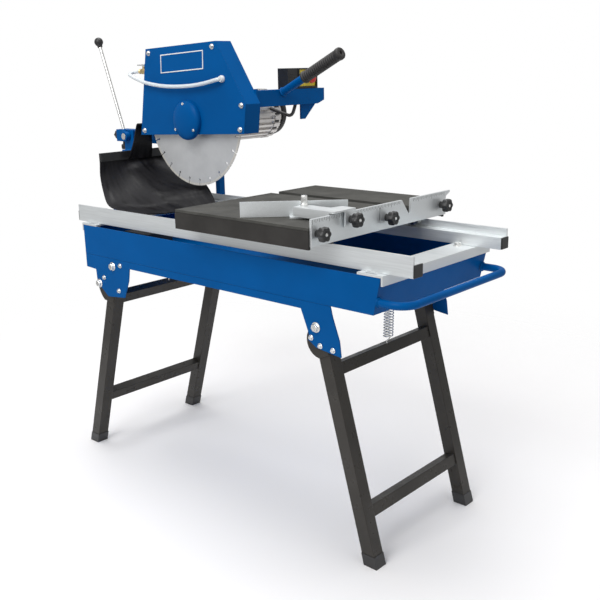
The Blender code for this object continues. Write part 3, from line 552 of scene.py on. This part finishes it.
def foot_caps():
    """Moulded boots over the ends of the legs."""
    for tag, lean in LEG_LEAN.items():
        slope = -math.tan(math.radians(lean))
        for side in ("near", "far"):
            node = f"{tag}_leg_{side}"
            floor_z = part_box(node)[0].z
            sole = [(v.co - DATUM) / MM for v in frame["nodes"][node].data.vertices
                    if v.co.z < floor_z + 1e-4]
            x0, x1 = min(v.x for v in sole) - BOOT_CLEAR, max(v.x for v in sole) + BOOT_CLEAR
            y0, y1 = min(v.y for v in sole) - BOOT_CLEAR, max(v.y for v in sole) + BOOT_CLEAR
            rings = []
            for wall, z in ((0, 0.1), (0, BOOT_H), (BOOT_T, BOOT_H), (BOOT_T, 0.1)):
                a, b = x0 + slope * z + wall, x1 + slope * z - wall
                c, d = y0 + wall, y1 - wall
                rings.append([(a, c, z), (b, c, z), (b, d, z), (a, d, z)])
            piece(f"foot_cap_{tag}_{side}", loft(bmesh.new(), rings, closed=True), PAINTS["black_plastic"],
                  f"{tag}_legs", 0.5)


foot_caps()


BUMPER_BEND = 36.0


def bumper():
    """The bent bar again, rounder, with a weld bead where it meets the tray."""
    low, high = corners("bumper_bar")
    radius = (high.z - low.z) / 2
    z = (low.z + high.z) / 2
    root, x_bend = low.x, high.x - radius - BUMPER_BEND
    y0, y1 = low.y + radius, high.y - radius
    quarter = [math.pi / 2 * i / 12 for i in range(13)]
    path = [(root, y0, z), (x_bend - 8, y0, z)]
    path += [(x_bend + BUMPER_BEND * math.sin(a), y0 + BUMPER_BEND * (1 - math.cos(a)), z) for a in quarter]
    path += [(x_bend + BUMPER_BEND * math.cos(a), y1 - BUMPER_BEND * (1 - math.sin(a)), z) for a in quarter]
    path += [(x_bend - 8, y1, z), (root, y1, z)]
    bm = sweep(path, radius, 24)
    for y in (y0, y1):
        lathe([(radius + 0.2, 0), (radius + 2.6, 0.4), (radius + 2.2, 2.0), (radius + 0.2, 3.2)],
              (root - 0.5, y, z), (1, 0, 0), 24, bm)
    piece("bumper_tube", bm, PAINTS["blue_paint"], "frame", stands_for=["bumper_bar"],
          sharp=50)


bumper()


CROSSBAR_BOLT_Y = (40, 302)


def crossbar_fasteners():
    """The bolts that hold each crossbar down, just inside the rails."""
    for end, shift in (("front", -8), ("rear", 8)):
        low, high = corners(f"crossbar_{end}")
        bm = bmesh.new()
        for y in CROSSBAR_BOLT_Y:
            bolt(bm, ((low.x + high.x) / 2 + shift, y, high.z), (0, 0, 1), 13, 10)
        piece(f"crossbar_bolts_{end}", bm, PAINTS["zinc"], "frame", 0.4)


crossbar_fasteners()


# ---------------------------------------------------------------- leg springs
SPRING_R, SPRING_WIRE, SPRING_TURNS = 10.0, 1.25, 15
SPRING_TIP = 1.5


def spring(tag):
    """A wound spring with a hook at each end; it stretches from the tray to the legs' brace."""
    node = f"{tag}_leg_spring"
    low, high = corners(node)
    verts = [(v.co - DATUM) / MM for v in frame["nodes"][node].data.vertices]
    tips = [v for v in verts if v.z > high.z - SPRING_TIP], [v for v in verts if v.z < low.z + SPRING_TIP]
    top, bottom = (sum(tip, Vector()) / len(tip) for tip in tips)
    axis = (bottom - top).normalized()
    first, second = frame_on(axis)
    per_turn = 18
    start, end = top + axis * 17, bottom - axis * 15
    path = [top + second * 3, top + axis * 5 + second * 4.5, top + axis * 11 + first * 3]
    for i in range(SPRING_TURNS * per_turn + 1):
        angle = 2 * math.pi * i / per_turn
        centre = start + (end - start) * (i / (SPRING_TURNS * per_turn))
        path.append(centre + (first * math.cos(angle) + second * math.sin(angle)) * SPRING_R)
    path += [bottom - axis * 10 + first * 3, bottom - axis * 5 - second * 4, bottom - second * 3]
    made = piece(f"{tag}_spring_coil", sweep(path, SPRING_WIRE, 7), PAINTS["zinc"], None,
                 stands_for=[node], sharp=60)
    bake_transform(made)


spring("front")
spring("rear")


# ---------------------------------------------------------------- splash sheet and flap
RUBBER_T = 3.2


def sheet_body(front):
    """A rubber sheet of even thickness behind a grid of points."""
    rows, columns = len(front), len(front[0])
    bm = bmesh.new()
    grid = [[bm.verts.new(p) for p in row] for row in front]
    back = []
    for i in range(rows):
        row = []
        for j in range(columns):
            down = front[min(i + 1, rows - 1)][j] - front[max(i - 1, 0)][j]
            over = front[i][min(j + 1, columns - 1)] - front[i][max(j - 1, 0)]
            row.append(bm.verts.new(front[i][j] + down.cross(over).normalized() * RUBBER_T))
        back.append(row)
    for i in range(rows - 1):
        for j in range(columns - 1):
            bm.faces.new((grid[i][j], grid[i][j + 1], grid[i + 1][j + 1], grid[i + 1][j]))
            bm.faces.new((back[i][j], back[i + 1][j], back[i + 1][j + 1], back[i][j + 1]))
        bm.faces.new((grid[i][0], grid[i + 1][0], back[i + 1][0], back[i][0]))
        bm.faces.new((grid[i][-1], back[i][-1], back[i + 1][-1], grid[i + 1][-1]))
    for j in range(columns - 1):
        bm.faces.new((grid[0][j], back[0][j], back[0][j + 1], grid[0][j + 1]))
        bm.faces.new((grid[-1][j], grid[-1][j + 1], back[-1][j + 1], back[-1][j]))
    return bm


def splash_sheet():
    """Rubber sheet hung from its strip, bellied at the back, with its foot laid over the rear crossbar."""
    near = smooth_path([(-261.4, 139, 776), (-261.4, 139, 748), (-264, 139, 712), (-254, 139, 669),
                        (-234, 139, 634), (-190, 140, 625), (-128, 140, 625), (-70, 140, 624.5)], 6)
    far = smooth_path([(-261.4, 391, 776), (-261.4, 389, 748), (-206, 373, 736), (-112, 342, 711),
                       (-12, 304, 690), (12, 302, 668), (22, 301, 652), (27, 300, 636)], 6)
    columns, rows = 33, len(near)

    def point(i, s):
        base = near[i].lerp(far[i], s)
        sag = 4 * s * (1 - s) * min(1.0, max(0, i - 12) / 24)
        ripple = 1.6 * math.sin(s * 17 + 0.35 * math.sin(i * 0.25)) * min(1.0, max(0, i - 8) / 14)
        return base + Vector((-9.0 * sag + ripple, 0, -5.0 * sag + 0.5 * ripple))

    front = [[point(i, j / (columns - 1)) for j in range(columns)] for i in range(rows)]
    made = piece("splash_curtain", sheet_body(front), PAINTS["black_rubber"], None,
                 stands_for=["splash_sheet"], sharp=60)
    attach(made, "frame")
    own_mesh(made)


def splash_flap():
    """Rubber flap behind the guard: a short level lip, then a widening drop with a soft crown."""
    line = ((-194.6, 852), (-209, 851.6), (-213.5, 838), (-220.5, 803.6), (-228.5, 779), (-238, 756))
    near = smooth_path([(x, y, z) for (x, z), y in zip(line, (236, 234.5, 232, 227, 222.5, 218))], 5)
    far = smooth_path([(x, y, z) for (x, z), y in zip(line, (281, 283, 285, 290, 295, 300))], 5)
    shares = [j / 12 for j in range(13)]
    front = []
    for i, (a, b) in enumerate(zip(near, far)):
        crown = 2.4 * i / (len(near) - 1)
        front.append([a.lerp(b, s) - Vector((crown * math.sin(math.pi * s), 0, 0)) for s in shares])
    made = piece("splash_flap_rubber", sheet_body(front), PAINTS["black_rubber"], "head",
                 stands_for=["splash_flap"], sharp=60)


splash_sheet()
splash_flap()


# ---------------------------------------------------------------- knobs, nuts and levers
def star(bm, base, axis, radius, depth, lobes=6):
    """A moulded star grip: neck, waved rim with soft shoulders and a shallow dish with its cap."""
    profile = [(0, 0), (radius * 0.5, 0), (radius * 0.5, depth * 0.3), (radius * 0.62, depth * 0.4)]
    body = [(radius * 0.9, depth * 0.42), (radius * 0.99, depth * 0.5), (radius, depth * 0.58),
            (radius, depth * 0.82), (radius * 0.96, depth * 0.93), (radius * 0.86, depth),
            (radius * 0.6, depth), (radius * 0.52, depth - 1.2), (0, depth - 1.2)]
    base, axis = Vector(base), Vector(axis).normalized()
    lathe(profile + [(0, depth * 0.42)], base, axis, 36, bm)
    lathe([(0, depth * 0.41)] + body, base, axis, 72, bm, lobes, 0.085)
    return bm


def knob_grip(name, base, axis, radius, depth):
    bm = star(bmesh.new(), base, axis, radius, depth)
    piece(f"{name}_grip", bm, PAINTS["black_plastic"], name, stands_for=[name], sharp=40)


def knobs():
    """The star knobs of fence and gauge with their metal inserts, and the two on the head arm's tail."""
    for name in ("fence_knob_1", "fence_knob_2", "fence_knob_3", "gauge_knob"):
        low, high = corners(name)
        centre = middle(low, high)
        depth = high.x - low.x
        knob_grip(name, (low.x, centre.y, centre.z), (1, 0, 0), (high.y - low.y) / 2, depth)
        stud = lathe([(0, 0), (3.4, 0), (3.4, 1.2), (2.6, 2.0), (0, 2.0)],
                     (low.x + depth - 1.3, centre.y, centre.z), (1, 0, 0), 20)
        piece(f"{name}_insert", stud, PAINTS["zinc"], name)
    low, high = corners("tail_knob")
    centre = middle(low, high)
    knob_grip("tail_knob", (high.x, centre.y, centre.z), (-1, 0, 0), 13, high.x - low.x)
    low, high = corners("depth_knob")
    centre = middle(low, high)
    knob_grip("depth_knob", (centre.x, centre.y, high.z), (0, 0, -1), 12, high.z - low.z)


knobs()


def gauge_nut():
    """Knurled nut on the gauge's stud."""
    low, high = corners("gauge_nut")
    centre = ((low.x + high.x) / 2, (low.y + high.y) / 2, low.z)
    tall = high.z - low.z
    bm = lathe([(4.6, 0), (8, 0), (8, 3.6), (6.4, 4.6), (4.6, 4.6)], centre, (0, 0, 1), 40)
    lathe([(0, 4.5), (6.2, 4.5), (6.5, 5.6), (6.5, tall - 1.4), (5.6, tall), (0, tall)], centre, (0, 0, 1),
          96, bm, lobes=32, lobe_depth=0.03)
    piece("gauge_nut_knurled", bm, PAINTS["zinc"], "gauge_nut", stands_for=["gauge_nut"], sharp=40)


gauge_nut()


BALL_R, BOSS_R = 12.5, 16.0


def lock_lever():
    """Clamp boss, bright rod and ball."""
    low, high = corners("lock_lever")
    ball = Vector((low.x + BALL_R, (low.y + high.y) / 2, high.z - BALL_R))
    pivot = Vector((high.x - BOSS_R, ball.y, low.z + BOSS_R))
    reach = (ball - pivot).normalized()
    length = (ball - pivot).length
    hub = lathe([(9.6, -7.4), (12.6, -7.4), (13.4, -6.6), (13.4, 6.6), (12.6, 7.4), (9.6, 7.4)], pivot,
                (0, 1, 0), 48)
    lathe([(0, 11), (6, 11), (6, 19), (5, 21), (0, 21)], pivot, reach, 32, hub)
    piece("lever_hub", hub, PAINTS["blue_paint"], "lock_lever", stands_for=["lock_lever"],
          sharp=40)
    rod = lathe([(0, 14), (4.4, 14), (4.4, length - 10), (0, length - 10)], pivot, reach, 24)
    piece("lever_rod", rod, PAINTS["zinc"], "lock_lever")
    turns = [math.radians(-84 + 12 * i) for i in range(15)]
    profile = [(0, -BALL_R)] + [(BALL_R * math.cos(a), BALL_R * math.sin(a)) for a in turns] + [(0, BALL_R)]
    bm = lathe(profile, ball, reach, 40)
    lathe([(0, -16), (6.2, -16), (7.4, -13), (7.4, -8), (0, -8)], ball, reach, 32, bm)
    piece("lever_ball", bm, PAINTS["black_plastic"], "lock_lever", sharp=40)


lock_lever()


# ---------------------------------------------------------------- head: arbor cover, handle, switch, hose
def arbor_cover():
    """Pressed dish over the spindle nut, with a rolled rim."""
    low, high = corners("arbor_cover")
    centre = ((low.x + high.x) / 2, high.y, (low.z + high.z) / 2)
    radius, deep = (high.x - low.x) / 2, high.y - low.y
    profile = [(radius - 2.5, 0), (radius, 0), (radius, 5.5), (radius - 0.6, 8.2), (radius - 2.2, 10.6),
               (radius - 5, 13), (radius - 10, 15.6), (radius - 17, 17.4), (radius - 26, deep - 0.7),
               (0, deep - 0.2)]
    piece("arbor_cover_dish", lathe(profile, centre, (0, -1, 0), 64), PAINTS["blue_paint"], "head",
          stands_for=["arbor_cover"], sharp=50)


arbor_cover()


HANDLE_X, HANDLE_Z = 200.0, 932.0
HANDLE_UP = Vector((190.0, 0.0, 91.0)).normalized()
GRIP_FROM, GRIP_LENGTH, GRIP_RIBS = 82.0, 132.0, 16


def handle_grip():
    """Rubber grip: end collar, fine ribs and a rounded end with its hole, and the weld at the tube's foot."""
    root = Vector((HANDLE_X, middle(*corners("handle_grip")).y, HANDLE_Z))
    length = GRIP_LENGTH
    profile = [(0, 0.2), (14.6, 0), (15.5, 0.9), (15.5, 4.6), (14.4, 6.0)]
    pitch = (length - 24) / GRIP_RIBS
    for i in range(GRIP_RIBS):
        start = 7 + i * pitch
        profile += [(12.9, start), (13.0, start + pitch * 0.18), (14.3, start + pitch * 0.42),
                    (14.3, start + pitch * 0.66), (13.0, start + pitch * 0.9)]
    profile += [(13.6, length - 15), (14.9, length - 12), (15.4, length - 7), (15.0, length - 2.5),
                (13.2, length), (5.6, length), (4.6, length - 1.2), (4.6, length - 9), (0, length - 9)]
    bm = lathe(profile, root + HANDLE_UP * GRIP_FROM, HANDLE_UP, 48)
    piece("grip_sleeve", bm, EXTRA["grip"], "head", stands_for=["handle_grip"], sharp=60)
    weld = lathe([(10.1, -1.0), (12.6, 0.2), (12.0, 2.2), (10.1, 3.6)], root + HANDLE_UP * 2.0, HANDLE_UP, 32)
    piece("handle_weld", weld, PAINTS["blue_paint"], "head", sharp=60)


handle_grip()


SWITCH_Y, SWITCH_Z, SWITCH_RIM = (453, 519), (945, 987), 3
STEM_HOLE_R = 8.8


def holed_outline(centre):
    """The switch plate's edge and the hole for the stop button's stem: (Y, Z) rings of the same count."""
    y0, y1 = (y - centre.y for y in SWITCH_Y)
    z0, z1 = (z - centre.z for z in SWITCH_Z)
    turns = [2 * math.pi * i / 32 for i in range(32)]
    turns = sorted(turns + [math.atan2(z, y) % (2 * math.pi) for y in (y0, y1) for z in (z0, z1)])
    edge, hole = [], []
    for turn in turns:
        y, z = math.cos(turn), math.sin(turn)
        reach = min((y1 if y > 0 else y0) / y if abs(y) > 1e-6 else math.inf,
                    (z1 if z > 0 else z0) / z if abs(z) > 1e-6 else math.inf)
        edge.append((centre.y + y * reach, centre.z + z * reach))
        hole.append((centre.y + y * STEM_HOLE_R, centre.z + z * STEM_HOLE_R))
    return edge, hole


def framed(outer, inner, back, front):
    """A plate in Y and Z between two outlines, from one X to another."""
    return loft(bmesh.new(), [[(x, y, z) for y, z in outline] for x, outline in
                              ((back, outer), (front, outer), (front, inner), (back, inner))], closed=True)


def switch():
    """Yellow plate in its frame, a green start key and the red stop mushroom."""
    face = corners("switch_box")[1].x
    low, high = corners("stop_button")
    centre = middle(low, high)
    centre.x = low.x
    edge, hole = holed_outline(centre)
    piece("switch_plate", framed(edge, hole, face - 3.9, face - 2.2), EXTRA["yellow"], "head",
          sharp=30)
    (y0, y1), (z0, z1) = SWITCH_Y, SWITCH_Z
    rim, inner = ([(y0 - w, z0 - w), (y1 + w, z0 - w), (y1 + w, z1 + w), (y0 - w, z1 + w)]
                  for w in (SWITCH_RIM, 0))
    piece("switch_rim", framed(rim, inner, face, face + 3), PAINTS["black_plastic"], "head",
          0.6)
    key = block((face - 2.3, 459, 955), (face + 2.5, 472, 977))
    piece("start_key", key, EXTRA["green"], "head", 1.0, 3)
    bm = lathe([(0, 0), (8, 0), (8, 8.6), (12.6, 9.2), (13.8, 10.4), (14, 13), (13.2, 15.6), (10.6, 18),
                (6.4, 19.6), (0, 20)], centre, (1, 0, 0), 48)
    piece("stop_mushroom", bm, PAINTS["stop_red"], "stop_button", stands_for=["stop_button"],
          sharp=50)
    ribs = bmesh.new()
    for z in (952, 960, 968, 976):
        block((face - 0.2, 414, z), (face + 1.0, 446, z + 3), ribs)
    piece("switch_ribs", ribs, PAINTS["black_plastic"], "head", 0.4)


switch()

GAP = 0.3
COVER_FACE = corners("guard_cover")[0].y
VALVE_Z = 990.0
HOSE_R = 5.0
HOSE_START = (-204.0 - GAP, 252, 990)
HOSE_ROUTE = [(-211, 252, 990), (-220, 248, 989), (-224, 240, 987), (-218, 229, 983), (-204, 222, 979),
              (-170, 221.5, 968), (-137, 221, 960), (-80, 220.5, 953), (-23, 220, 951), (40, 220.5, 953),
              (90, 221, 959), (118, 221.5, 964), (134, 224, 967.5), (140, 229.5, 969)]
HOSE_END = (140, COVER_FACE - GAP, 969)


def cord(name, route, radius, resolution, paint, stands_for=()):
    """A free cord or hose on the head along a route of points in metres, with both ends on the machine."""
    curve = bpy.data.curves.new(name, "CURVE")
    curve.dimensions = "3D"
    curve.bevel_depth = radius * MM
    curve.bevel_resolution = resolution
    curve.use_fill_caps = True
    spline = curve.splines.new("POLY")
    spline.points.add(len(route) - 1)
    for vertex, point in zip(spline.points, route):
        vertex.co = (*point, 1.0)
    spline.use_smooth = True
    made = bpy.data.objects.new(name, curve)
    bpy.context.scene.collection.objects.link(made)
    curve.materials.append(paint)
    if stands_for:
        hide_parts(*stands_for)
    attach(made, "head")


def hose():
    """Clear water hose from the valve across the guard, and the collar of its inlet."""
    route = [at(*HOSE_START)] + [at(*p) for p in smooth_path(HOSE_ROUTE, 2)] + [at(*HOSE_END)]
    cord("clear_water_hose", route, HOSE_R, 5, PAINTS["clear_hose"], ["water_hose"])
    collar = lathe([(5.2, 0), (8.5, 0), (8.5, 4.5), (7, 5.5), (7, 9), (5.2, 9)],
                   (HOSE_END[0], COVER_FACE, HOSE_END[2]), (0, -1, 0), 36)
    piece("hose_inlet_collar", collar, EXTRA["white"], "head", sharp=40)


hose()


def valve():
    """Ball valve: hexagon body, barrel, barbed outlet and the neck under its lever."""
    low, high = corners("water_valve")
    root = (high.x, (low.y + high.y) / 2, VALVE_Z)
    bm = lathe([(0, 0), (7.9, 0), (7.9, 12), (0, 12)], root, (-1, 0, 0), 6)
    lathe([(0, 11.5), (6.6, 11.5), (7.4, 15), (7.4, 24), (6.6, 28), (0, 28)], root, (-1, 0, 0), 36, bm)
    lathe([(0, 27.5), (5.6, 27.5), (6.8, 29.5), (5.6, 32), (6.8, 34), (5.6, 37.3), (0, 37.3)], root,
          (-1, 0, 0), 36, bm)
    lathe([(0, 2), (4.8, 2), (4.8, 13), (0, 13)], (-184, root[1], VALVE_Z), (0, 0, 1), 24, bm)
    piece("valve_body", bm, PAINTS["brass"], "head", 0.3, stands_for=["water_valve"], sharp=40)


valve()


# ---------------------------------------------------------------- motor
def motor_end():
    """Fan cover with the spokes and rings of its grille."""
    low, high = corners("fan_cover")
    centre = Vector(((low.x + high.x) / 2, low.y, (low.z + high.z) / 2))
    radius, deep = (high.x - low.x) / 2, high.y - low.y
    bm = lathe([(0, 0), (radius - 2, 0), (radius, 3), (radius, deep - 13), (radius - 1.2, deep - 8),
                (radius - 4.5, deep - 4), (radius - 9, deep - 2.2), (0, deep - 2.2)], centre, (0, 1, 0), 64)
    for i in range(28):
        angle = 2 * math.pi * i / 28
        along = Vector((math.cos(angle), 0, math.sin(angle)))
        side = Vector((-along.z, 0, along.x)) * 1.1
        start, end = centre + along * 14, centre + along * (radius - 11)
        base = Vector((0, deep - 2.4, 0))
        plate([start + side + base, end + side + base, end - side + base, start - side + base],
              (0, 2.2, 0), bm)
    for ring in (14, 27, 40):
        lathe([(ring - 1, deep - 2.4), (ring - 1, deep - 0.2), (ring + 1, deep - 0.2),
               (ring + 1, deep - 2.4)], centre, (0, 1, 0), 64, bm)
    piece("fan_cover_grille", bm, PAINTS["black_plastic"], "head", stands_for=["fan_cover"],
          sharp=40)


motor_end()


BELL_LUGS = 20


def end_bell():
    """Cast lugs round the housing's end bell, black blocks between them as painted shade in the slots, and
    its four tie bolts.
    """
    high = corners("motor_housing")[1].y
    centre = middle(*corners("fan_cover"))
    centre.y = 0
    lugs, painted_slot_shade = bmesh.new(), bmesh.new()
    for i in range(BELL_LUGS):
        angle = 2 * math.pi * (i + 0.5) / BELL_LUGS
        out = Vector((math.cos(angle), 0, math.sin(angle)))
        side = Vector((-out.z, 0, out.x))
        for bm, turn, half, end, y0, y1 in ((lugs, 0, 5.6, 67.5, high - 39, high - 16),
                                            (painted_slot_shade, math.pi / BELL_LUGS, 3.0, 64.6, high - 37, high - 20)):
            along = out * math.cos(turn) + side * math.sin(turn)
            across = side * math.cos(turn) - out * math.sin(turn)
            base = centre + Vector((0, y0, 0))
            outline = [base + along * reach + across * shift for reach, shift in
                       ((62, -half), (end, -half), (end, half), (62, half))]
            plate(outline, (0, y1 - y0, 0), bm)
    for angle in (45, 135, 225, 315):
        along = Vector((math.cos(math.radians(angle)), 0, math.sin(math.radians(angle))))
        bolt(lugs, centre + along * 54 + Vector((0, high - 4, 0)), (0, 1, 0), 7)
    piece("end_bell_lugs", lugs, PAINTS["motor_silver"], "head", 0.8)
    # The black blocks sunk between the lugs are painted shade, not parts of the bell.
    piece("end_bell_painted_slot_shade", painted_slot_shade, PAINTS["black_plastic"], "head")


end_bell()

LEAD_R = 4.5
LEAD_ROUTE = [(168, 470, 900), (160, 474, 888), (146, 482, 874), (128, 489, 868), (108, 490, 872),
              (88, 486, 878), (66, 480, 886)]


def motor_lead():
    """Short rubber lead from the beam's underside to the motor's end."""
    route = [at(*point) for point in smooth_path(LEAD_ROUTE, 4)]
    cord("motor_lead", route, LEAD_R, 4, EXTRA["grip"])


motor_lead()


# ---------------------------------------------------------------- scales
SCALE_MARKS, SCALE_FROM, SCALE_STEP = 91, -55, 5
NOTCH_Y = (228, 272)


def scales():
    """Marks every 5 mm down from the fence's top edge, left out at its notch."""
    high = corners("fence_plate")[1]
    top = high.z - 1.2
    bm = bmesh.new()
    for i in range(SCALE_MARKS):
        y = SCALE_FROM + i * SCALE_STEP
        if NOTCH_Y[0] < y < NOTCH_Y[1]:
            continue
        tall = 9 if i % 10 == 0 else (6.5 if i % 2 == 0 else 4.5)
        block((high.x - 0.05, y - 0.35, top - tall), (high.x + 0.12, y + 0.35, top), bm)
    piece("fence_scale", bm, EXTRA["ink"], "table")


scales()


# ---------------------------------------------------------------- studio
FLOOR_TONE = (0.97, 0.96, 0.965)
FLOOR_HALF = 30.0
FADE_FROM, FADE_TO = 0.62, 1.9
ROOM_LIGHT = 0.46
LAMP_TARGET = Vector((0.05, 0.0, 0.6))
# Lamps: name, place and side in metres, watts.
LAMPS = (("key_softbox", (0.4, -2.6, 3.0), 2.2, 74), ("fill_softbox", (3.2, -0.4, 2.0), 2.0, 8),
         ("top_softbox", (-0.6, 0.4, 3.6), 2.6, 72))


def floor_material():
    """Pale floor that gives way to the white room with distance from the machine."""
    made = Shader("studio_floor", FLOOR_TONE, 0.9)
    made.vary(made.noise(2, 2), 0.01)
    nodes, links = made.nodes, made.links
    length = nodes.new("ShaderNodeVectorMath")
    length.operation = "LENGTH"
    links.new(made.place, length.inputs[0])
    fade = nodes.new("ShaderNodeMapRange")
    fade.interpolation_type = "SMOOTHSTEP"
    fade.inputs["From Min"].default_value = FADE_FROM
    fade.inputs["From Max"].default_value = FADE_TO
    links.new(length.outputs["Value"], fade.inputs["Value"])
    mix = nodes.new("ShaderNodeMixShader")
    links.new(fade.outputs["Result"], mix.inputs["Fac"])
    links.new(made.bsdf.outputs["BSDF"], mix.inputs[1])
    links.new(nodes.new("ShaderNodeBsdfTransparent").outputs["BSDF"], mix.inputs[2])
    links.new(mix.outputs["Shader"], nodes["Material Output"].inputs["Surface"])
    return made.material


def studio():
    """The floor, an even white room and three softboxes."""
    mesh = bpy.data.meshes.new("studio_floor")
    corners = [(x * FLOOR_HALF, y * FLOOR_HALF, 0) for x, y in ((-1, -1), (1, -1), (1, 1), (-1, 1))]
    mesh.from_pydata(corners, [], [(0, 1, 2, 3)])
    floor = bpy.data.objects.new("studio_floor", mesh)
    bpy.context.scene.collection.objects.link(floor)
    mesh.materials.append(floor_material())

    world = bpy.data.worlds.new("studio")
    world.use_nodes = True
    nodes, links = world.node_tree.nodes, world.node_tree.links
    seen = nodes.new("ShaderNodeLightPath").outputs["Is Camera Ray"]
    strength = nodes.new("ShaderNodeMapRange")
    strength.inputs["To Min"].default_value = ROOM_LIGHT
    strength.inputs["To Max"].default_value = 1.0
    links.new(seen, strength.inputs["Value"])
    nodes["Background"].inputs["Color"].default_value = (1.0, 1.0, 1.0, 1.0)
    links.new(strength.outputs["Result"], nodes["Background"].inputs["Strength"])
    bpy.context.scene.world = world

    for name, place, size, watts in LAMPS:
        lamp = bpy.data.lights.new(name, "AREA")
        lamp.shape = "SQUARE"
        lamp.size = size
        lamp.energy = watts
        holder = bpy.data.objects.new(name, lamp)
        holder.location = place
        holder.rotation_euler = (LAMP_TARGET - Vector(place)).to_track_quat("-Z", "Y").to_euler()
        bpy.context.scene.collection.objects.link(holder)


studio()


CAMERA_AT = (1717.1, -1234.0, 992.3)
CAMERA_TURN = (42.23, 15.33, -1.14)
SENSOR_W, FOCAL_LENGTH = 36.0, 50.89


def camera():
    """The view from the operator's near side, given by its yaw, downward pitch and roll in degrees."""
    yaw, pitch, roll = (math.radians(angle) for angle in CAMERA_TURN)
    ahead = Vector((-math.sin(yaw) * math.cos(pitch), math.cos(yaw) * math.cos(pitch), -math.sin(pitch)))
    level = Vector((math.cos(yaw), math.sin(yaw), 0))
    over = level.cross(ahead)
    right = level * math.cos(roll) + over * math.sin(roll)
    up = over * math.cos(roll) - level * math.sin(roll)
    lens = bpy.data.cameras.new("photo_view")
    lens.sensor_width = SENSOR_W
    lens.lens = FOCAL_LENGTH
    made = bpy.data.objects.new("photo_view", lens)
    rotation = Matrix((right, up, -ahead)).transposed().to_4x4()
    made.matrix_world = Matrix.Translation(at(*CAMERA_AT)) @ rotation
    bpy.context.scene.collection.objects.link(made)
    bpy.context.scene.camera = made


camera()
bpy.context.scene.view_settings.view_transform = "Standard"
